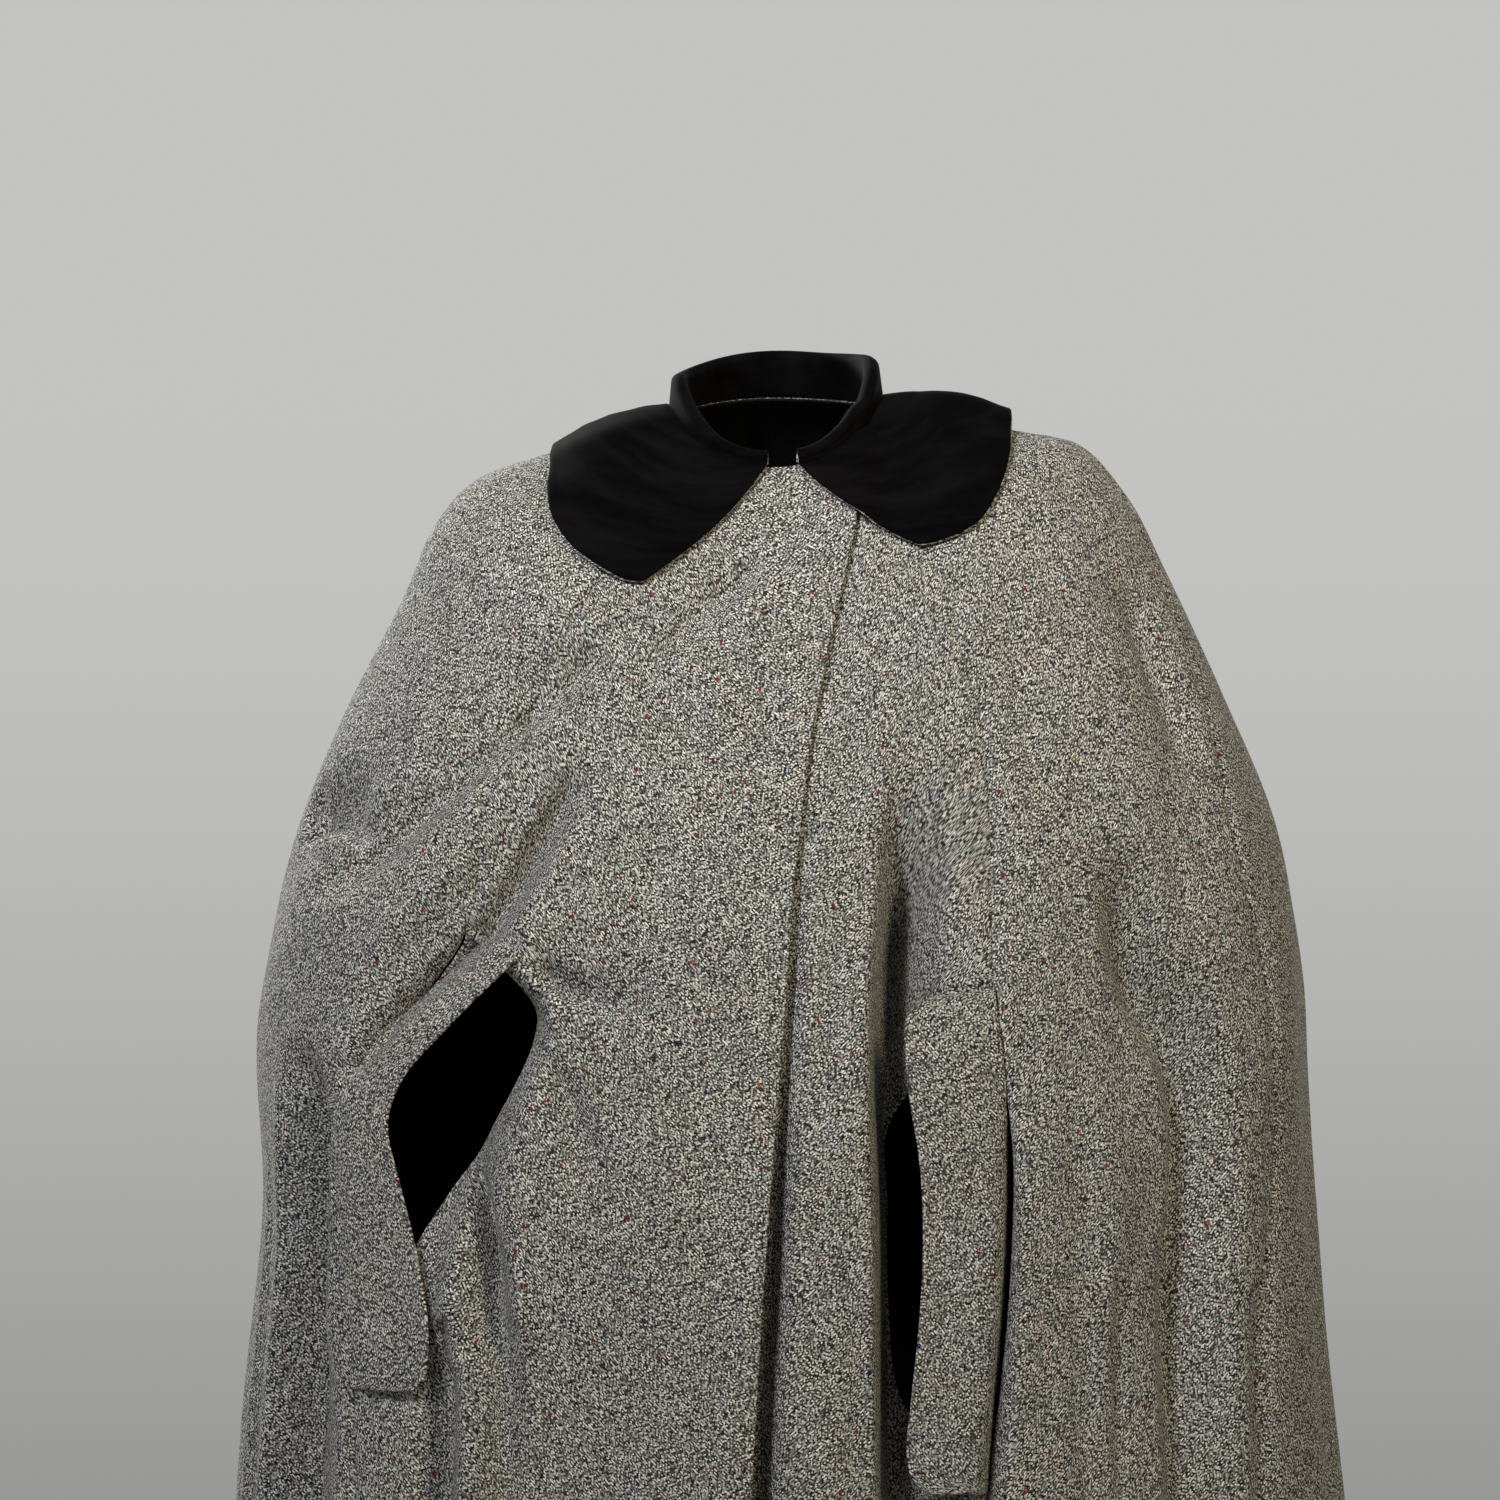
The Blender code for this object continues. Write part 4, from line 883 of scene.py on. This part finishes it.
def tweedMaterial(name, tone=1.0, contrast=1.0, seed=0.0):
    look, tree, shader = nodeTree(name)
    cloth = add(tree, "UVMap", uv_map="clothMetres").outputs["UV"]
    drift = noise(tree, cloth, tweedLook["swayScale"], 1.0)
    sway = vectorNode(tree, "SUBTRACT", drift.outputs["Color"], (0.5, 0.5, 0.5))
    sway = vectorNode(tree, "MULTIPLY", sway, (tweedLook["sway"], tweedLook["sway"], 0.0))
    swayed = vectorNode(tree, "ADD", cloth, sway)
    turned = add(tree, "Mapping")
    put(tree, swayed, turned.inputs["Vector"])
    turned.inputs["Location"].default_value = (seed, seed * 0.7, 0)
    turned.inputs["Rotation"].default_value = (0, 0, math.radians(tweedLook["twillAngle"]))
    along, across = tweedLook["yarnAlong"], tweedLook["yarnAcross"]
    split = add(tree, "SeparateXYZ")
    put(tree, turned.outputs["Vector"], split.inputs[0])
    row = mathNode(tree, "FLOOR", mathNode(tree, "DIVIDE", split.outputs["Y"], across))
    shift = mathNode(tree, "MULTIPLY", row, tweedLook["rowShift"])
    place = mathNode(tree, "ADD", mathNode(tree, "DIVIDE", split.outputs["X"], along), shift)
    cell = add(tree, "CombineXYZ")
    put(tree, mathNode(tree, "FLOOR", mathNode(tree, "DIVIDE", place, 2.0)), cell.inputs["X"])
    put(tree, row, cell.inputs["Y"])
    grain = add(tree, "TexWhiteNoise", noise_dimensions="2D")
    put(tree, cell.outputs[0], grain.inputs["Vector"])
    fibre = noise(tree, cloth, tweedLook["fibreScale"], 1.0)
    line = mathNode(tree, "FLOORED_MODULO", row, 2.0)
    # pairs: one yarn over, one under
    odd = mathNode(tree, "FLOORED_MODULO", mathNode(tree, "FLOOR", place), 2.0)
    flip = mathNode(tree, "SUBTRACT", 1.0, grain.outputs["Value"])
    other = add(tree, "SeparateColor")
    put(tree, grain.outputs["Color"], other.inputs["Color"])
    lone = mathNode(tree, "GREATER_THAN", other.outputs["Blue"], tweedLook["loneShare"])
    loose = mixValue(tree, lone, flip, other.outputs["Green"])
    pair = mixValue(tree, odd, grain.outputs["Value"], loose)
    bright = mathNode(tree, "MULTIPLY", pair, 1 - tweedLook["twillShare"])
    bright = mathNode(tree, "MULTIPLY_ADD", line, tweedLook["twillShare"], bright)
    soft = mathNode(tree, "MULTIPLY_ADD", fibre.outputs["Fac"], tweedLook["fibre"], -tweedLook["fibre"] / 2)
    bright = mathNode(tree, "ADD", bright, soft)
    bright = mathNode(tree, "MULTIPLY_ADD", mathNode(tree, "SUBTRACT", bright, 0.5), contrast, 0.5)
    colour = ramp(tree, bright, tweedLook["yarns"])
    patch = noise(tree, cloth, tweedLook["mottleScale"], 3.0)
    shade = mathNode(tree, "MULTIPLY_ADD", patch.outputs["Fac"], 2 * tweedLook["mottle"],
                     tone * (1 - tweedLook["mottle"]))
    warm = noise(tree, cloth, tweedLook["warmScale"])
    tint = ramp(tree, warm.outputs["Fac"], [(0.35, (0.99, 1.0, 1.015)), (0.65, (1.01, 1.0, 0.965))])
    colour = mixColour(tree, 1.0, colour, tint, "MULTIPLY")
    grey = add(tree, "CombineXYZ")
    for socket in grey.inputs:
        put(tree, shade, socket)
    colour = mixColour(tree, 1.0, colour, grey.outputs[0], "MULTIPLY")
    spots = add(tree, "TexVoronoi", voronoi_dimensions="2D")
    wide = add(tree, "Mapping")
    put(tree, swayed, wide.inputs["Vector"])
    wide.inputs["Scale"].default_value = tweedLook["fleckStretch"]
    put(tree, wide.outputs["Vector"], spots.inputs["Vector"])
    spots.inputs["Scale"].default_value = 1 / tweedLook["fleckCell"]
    pick = add(tree, "SeparateColor")
    put(tree, spots.outputs["Color"], pick.inputs["Color"])
    size = mathNode(tree, "MULTIPLY_ADD", pick.outputs["Green"], *tweedLook["fleckSize"])
    inside = mathNode(tree, "LESS_THAN", spots.outputs["Distance"], size)
    broken = mathNode(tree, "GREATER_THAN", grain.outputs["Value"], tweedLook["fleckBreak"])
    inside = mathNode(tree, "MULTIPLY", inside, broken)
    for low, high, dye in tweedLook["flecks"]:
        over = mathNode(tree, "GREATER_THAN", pick.outputs["Red"], low)
        under = mathNode(tree, "LESS_THAN", pick.outputs["Red"], high)
        here = mathNode(tree, "MULTIPLY", mathNode(tree, "MULTIPLY", over, under), inside)
        colour = mixColour(tree, here, colour, (*tweedLook[dye], 1))
    put(tree, colour, shader.inputs["Base Color"])
    shader.inputs["Roughness"].default_value = tweedLook["roughness"]
    shader.inputs["Specular IOR Level"].default_value = 0.20
    shader.inputs["Sheen Weight"].default_value = 0.05
    shader.inputs["Sheen Roughness"].default_value = 0.55
    relief = mathNode(tree, "MULTIPLY_ADD", fibre.outputs["Fac"], 0.6, bright)
    bump = add(tree, "Bump")
    bump.inputs["Distance"].default_value = tweedLook["bump"]
    bump.inputs["Strength"].default_value = 0.6
    put(tree, relief, bump.inputs["Height"])
    put(tree, bump.outputs["Normal"], shader.inputs["Normal"])
    return look


velvetLook = {
    "black": (0.0014, 0.0011, 0.0013),
    # lighter hazy patches in the base colour: brushed wear of the pile, partly painted sheen
    "worn": (0.0060, 0.0054, 0.0062),
    "roughness": 0.85,
    "sheen": 0.022,
}


def velvetMaterial():
    look, tree, shader = nodeTree("blackVelvet")
    cloth = add(tree, "UVMap", uv_map="clothMetres").outputs["UV"]
    haze = noise(tree, cloth, 34.0, 5.0)
    haze.inputs["Roughness"].default_value = 0.62
    pile = noise(tree, cloth, 2600.0)
    both = mathNode(tree, "MULTIPLY_ADD", pile.outputs["Fac"], 0.22, haze.outputs["Fac"])
    # the haze noise lightens the base colour: brushed wear together with painted sheen
    black, worn = velvetLook["black"], velvetLook["worn"]
    put(tree, ramp(tree, both, [(0.50, black), (0.86, worn)]), shader.inputs["Base Color"])
    shader.inputs["Roughness"].default_value = velvetLook["roughness"]
    shader.inputs["Specular IOR Level"].default_value = 0.05
    shader.inputs["Sheen Weight"].default_value = velvetLook["sheen"]
    shader.inputs["Sheen Roughness"].default_value = 0.40
    bump = add(tree, "Bump")
    bump.inputs["Distance"].default_value = 0.0002
    bump.inputs["Strength"].default_value = 0.5
    put(tree, pile.outputs["Fac"], bump.inputs["Height"])
    put(tree, bump.outputs["Normal"], shader.inputs["Normal"])
    return look


def insideShadeMaterial():
    look, tree, shader = nodeTree("paintedInsideShade")
    cloth = add(tree, "UVMap", uv_map="clothMetres").outputs["UV"]
    nap = noise(tree, cloth, 700.0)
    # near-black base colour: painted shade inside the coat, not a colour of the wool
    dark, light = (0.0045, 0.0040, 0.0046), (0.0120, 0.0105, 0.0110)
    put(tree, ramp(tree, nap.outputs["Fac"], [(0.35, dark), (0.65, light)]), shader.inputs["Base Color"])
    shader.inputs["Roughness"].default_value = 0.9
    shader.inputs["Specular IOR Level"].default_value = 0.1
    return look


def threadMaterial():
    look, tree, shader = nodeTree("sewingThread")
    place = add(tree, "TexCoord").outputs["Object"]
    twist = add(tree, "TexNoise")
    put(tree, place, twist.inputs["Vector"])
    twist.inputs["Scale"].default_value = 1400.0
    put(tree, ramp(tree, twist.outputs["Fac"], [(0.35, 0.05), (0.65, 0.16)]), shader.inputs["Base Color"])
    shader.inputs["Roughness"].default_value = 0.7
    return look


# stitches are laid along a path by Geometry Nodes

stitchSizes = {"pitch": 0.0034, "length": 0.0025, "thickness": 0.00042}


def stitchTree():
    tree = bpy.data.node_groups.new("stitchRow", "GeometryNodeTree")
    face = tree.interface
    face.new_socket("Path", in_out="INPUT", socket_type="NodeSocketGeometry")
    for name in ("Pitch", "Length", "Thickness"):
        face.new_socket(name, in_out="INPUT", socket_type="NodeSocketFloat")
    face.new_socket("Thread", in_out="INPUT", socket_type="NodeSocketMaterial")
    face.new_socket("Stitches", in_out="OUTPUT", socket_type="NodeSocketGeometry")
    node = lambda kind: tree.nodes.new(kind)
    link = tree.links.new
    given, result = node("NodeGroupInput"), node("NodeGroupOutput")
    curve = node("GeometryNodeMeshToCurve")
    link(given.outputs["Path"], curve.inputs["Mesh"])
    spaced = node("GeometryNodeResampleCurve")
    spaced.mode = "LENGTH"
    link(curve.outputs["Curve"], spaced.inputs["Curve"])
    link(given.outputs["Pitch"], spaced.inputs["Length"])
    tangent = node("GeometryNodeInputTangent")
    aim = node("FunctionNodeAlignRotationToVector")
    aim.axis = "Z"
    link(tangent.outputs["Tangent"], aim.inputs["Vector"])
    wobble = node("FunctionNodeRandomValue")
    wobble.data_type = "FLOAT"
    wobble.inputs[2].default_value = 0.88
    wobble.inputs[3].default_value = 1.06
    wobble.inputs["Seed"].default_value = 7
    ball = node("GeometryNodeMeshUVSphere")
    ball.inputs["Segments"].default_value = 6
    ball.inputs["Rings"].default_value = 5
    ball.inputs["Radius"].default_value = 0.5
    size = node("ShaderNodeCombineXYZ")
    link(given.outputs["Thickness"], size.inputs["X"])
    link(given.outputs["Thickness"], size.inputs["Y"])
    link(given.outputs["Length"], size.inputs["Z"])
    scale = node("ShaderNodeVectorMath")
    scale.operation = "SCALE"
    link(size.outputs[0], scale.inputs[0])
    link(wobble.outputs[1], scale.inputs["Scale"])
    copies = node("GeometryNodeInstanceOnPoints")
    link(spaced.outputs["Curve"], copies.inputs["Points"])
    link(ball.outputs["Mesh"], copies.inputs["Instance"])
    link(aim.outputs["Rotation"], copies.inputs["Rotation"])
    link(scale.outputs[0], copies.inputs["Scale"])
    real = node("GeometryNodeRealizeInstances")
    link(copies.outputs["Instances"], real.inputs["Geometry"])
    dressed = node("GeometryNodeSetMaterial")
    link(real.outputs["Geometry"], dressed.inputs["Geometry"])
    link(given.outputs["Thread"], dressed.inputs["Material"])
    link(dressed.outputs["Geometry"], result.inputs["Stitches"])
    return tree


def stitchPiece(name, paths, tree, thread, sizes):
    points = np.concatenate(paths)
    edges = []
    start = 0
    for path in paths:
        edges += [(start + i, start + i + 1) for i in range(len(path) - 1)]
        start += len(path)
    mesh = bpy.data.meshes.new(name)
    mesh.from_pydata(points.tolist(), edges, [])
    rows = bpy.data.objects.new(name + "Path", mesh)
    bpy.context.collection.objects.link(rows)
    modifier = rows.modifiers.new("stitches", "NODES")
    modifier.node_group = tree
    given = {item.name: item.identifier for item in tree.interface.items_tree
             if item.in_out == "INPUT"}
    modifier[given["Pitch"]] = sizes["pitch"]
    modifier[given["Length"]] = sizes["length"]
    modifier[given["Thickness"]] = sizes["thickness"]
    modifier[given["Thread"]] = thread
    evaluated = rows.evaluated_get(bpy.context.evaluated_depsgraph_get())
    made = bpy.data.meshes.new_from_object(evaluated)
    made.shade_smooth()
    piece = bpy.data.objects.new(name, made)
    bpy.context.collection.objects.link(piece)
    bpy.data.objects.remove(rows, do_unlink=True)
    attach(piece, "root")
    print(f"cape coat: {name}, {len(made.polygons)} faces")


bodyTweed = tweedMaterial("coatTweed", contrast=1.12)
weltTweed = tweedMaterial("weltTweed", tone=1.02, contrast=1.05, seed=0.13)
velvet = velvetMaterial()
# painted shade for the inner faces of the coat
paintedInsideShade = insideShadeMaterial()
thread = threadMaterial()
print("cape coat: materials ready")

rightFront = panelPiece("rightFrontCloth", "front_right", ["princessRight", "rightFlute", "frontEdge"],
                        bodyTweed, (-18, 90, (0.0, 0.0), -1), "last", "right")
panelPiece("leftFrontCloth", "front_left", ["underlapEdge", "pleatLip", "princessLeft"],
           bodyTweed, (12, 90, (1.3, 0.4), 1), "first", "left")
panelPiece("rightSideFrontCloth", "side_front_right", ["sideRight", "princessRight"],
           bodyTweed, (-72, 90, (2.1, 0.9), -1))
panelPiece("leftSideFrontCloth", "side_front_left", ["princessLeft", "sideLeft"],
           bodyTweed, (52, 90, (0.8, 2.3), 1))
panelPiece("backCloth", "back", ["sideLeft", "backRight"],
           bodyTweed, (166, 90, (3.4, 3.1), 1))
rightWelt = weltPiece("rightWeltCloth", "right", weltTweed, 20, (0.5, 0.7))
leftWelt = weltPiece("leftWeltCloth", "left", weltTweed, 0, (0.9, 1.7))
collarPiece("collarVelvet", "collar_top", 1, velvet, 0)
collarPiece("underCollarCloth", "collar_under", -1,
            weltTweed, 0)

tree = stitchTree()
frontStitch = rightFront[6:-6, -7]
rightStitch = rightWelt[8:-8, -8]
leftStitch = leftWelt[8:-8, 7]
stitchPiece("edgeStitching", [frontStitch, rightStitch, leftStitch], tree, thread, stitchSizes)
print("cape coat: stitches laid")


studio = {
    "floorZ": -1.42,
    "floorRadius": 5.4,
    "floorTone": 0.62,
    "skyLow": (-0.27, 0.20),   # upward part of the direction, and the grey there and below it
    "skyHigh": (0.07, 0.55),   # the same, and the grey there and above it
    "skyTint": (1.0, 0.998, 0.98),
    "skyFill": 0.23,           # the sky's share in lighting the coat
    "lamps": [     # place, aimed at, width, height, watts, spread in degrees, colour
        ((-1.05, -1.90, 1.45), (-0.05, 0.0, 0.16), 0.5, 0.9, 5.5, 57, (0.985, 1.0, 1.035)),
        ((1.50, -1.85, 1.20), (0.08, 0.0, -0.02), 0.6, 1.0, 4.3, 70, (1.0, 0.87, 0.60)),
        ((-1.60, 2.20, 1.10), (0.0, 0.1, -0.45), 0.8, 0.8, 30.0, 120, (1.0, 0.99, 0.97)),
        ((1.30, 2.60, 0.60), (0.0, 0.1, -0.45), 0.8, 0.8, 6.0, 120, (1.0, 0.98, 0.95)),
    ],
    "sensor": 36.0,
    "lens": 126.72,
    "cameraPlace": (-0.0142, -3.0, -0.1818),
}


def floorPiece():
    mesh = bpy.data.meshes.new("studioFloor")
    rim = [(studio["floorRadius"] * math.cos(math.tau * i / 96),
            studio["floorRadius"] * math.sin(math.tau * i / 96), studio["floorZ"]) for i in range(96)]
    mesh.from_pydata(rim, [], [list(range(96))])
    floor = bpy.data.objects.new("studioFloor", mesh)
    bpy.context.collection.objects.link(floor)
    look, tree, shader = nodeTree("studioPaper")
    shader.inputs["Base Color"].default_value = (*[studio["floorTone"]] * 3, 1)
    shader.inputs["Roughness"].default_value = 0.9
    mesh.materials.append(look)


def skyWorld():
    world = bpy.data.worlds.new("studioSky")
    world.use_nodes = True
    tree = world.node_tree
    tree.nodes.clear()
    direction = add(tree, "TexCoord").outputs["Generated"]
    split = add(tree, "SeparateXYZ")
    put(tree, direction, split.inputs[0])
    up = mathNode(tree, "MULTIPLY_ADD", split.outputs["Z"], 0.5, 0.5)
    ends = [(0.5 + 0.5 * height, tuple(grey * part for part in studio["skyTint"]))
            for height, grey in (studio["skyLow"], studio["skyHigh"])]
    tone = ramp(tree, up, ends, "EASE")
    seen, lighting = add(tree, "Background"), add(tree, "Background")
    put(tree, tone, seen.inputs["Color"])
    put(tree, tone, lighting.inputs["Color"])
    lighting.inputs["Strength"].default_value = studio["skyFill"]
    choice = add(tree, "MixShader")
    put(tree, add(tree, "LightPath").outputs["Is Camera Ray"], choice.inputs["Fac"])
    tree.links.new(lighting.outputs[0], choice.inputs[1])
    tree.links.new(seen.outputs[0], choice.inputs[2])
    output = add(tree, "OutputWorld")
    tree.links.new(choice.outputs[0], output.inputs["Surface"])
    bpy.context.scene.world = world
    bpy.context.scene.view_settings.view_transform = "Standard"


def softLamp(number, place, aim, wide, high, watts, spread, colour):
    data = bpy.data.lights.new(f"softLamp{number}", "AREA")
    data.shape = "RECTANGLE"
    data.size, data.size_y = wide, high
    data.energy = watts
    data.color = colour
    data.spread = math.radians(spread)
    lamp = bpy.data.objects.new(data.name, data)
    bpy.context.collection.objects.link(lamp)
    lamp.visible_camera = False
    offset = [a - p for a, p in zip(aim, place)]
    flat = math.hypot(offset[0], offset[1])
    lamp.location = place
    lamp.rotation_euler = (math.atan2(flat, -offset[2]), 0, math.atan2(offset[1], offset[0]) - math.pi / 2)


def frontCamera():
    data = bpy.data.cameras.new("frontCamera")
    data.sensor_width = studio["sensor"]
    data.lens = studio["lens"]
    camera = bpy.data.objects.new("frontCamera", data)
    bpy.context.collection.objects.link(camera)
    camera.location = studio["cameraPlace"]
    camera.rotation_euler = (math.radians(90), 0, 0)
    bpy.context.scene.camera = camera


floorPiece()
skyWorld()
for number, lamp in enumerate(studio["lamps"]):
    softLamp(number, *lamp)
frontCamera()
print("cape coat: studio ready")
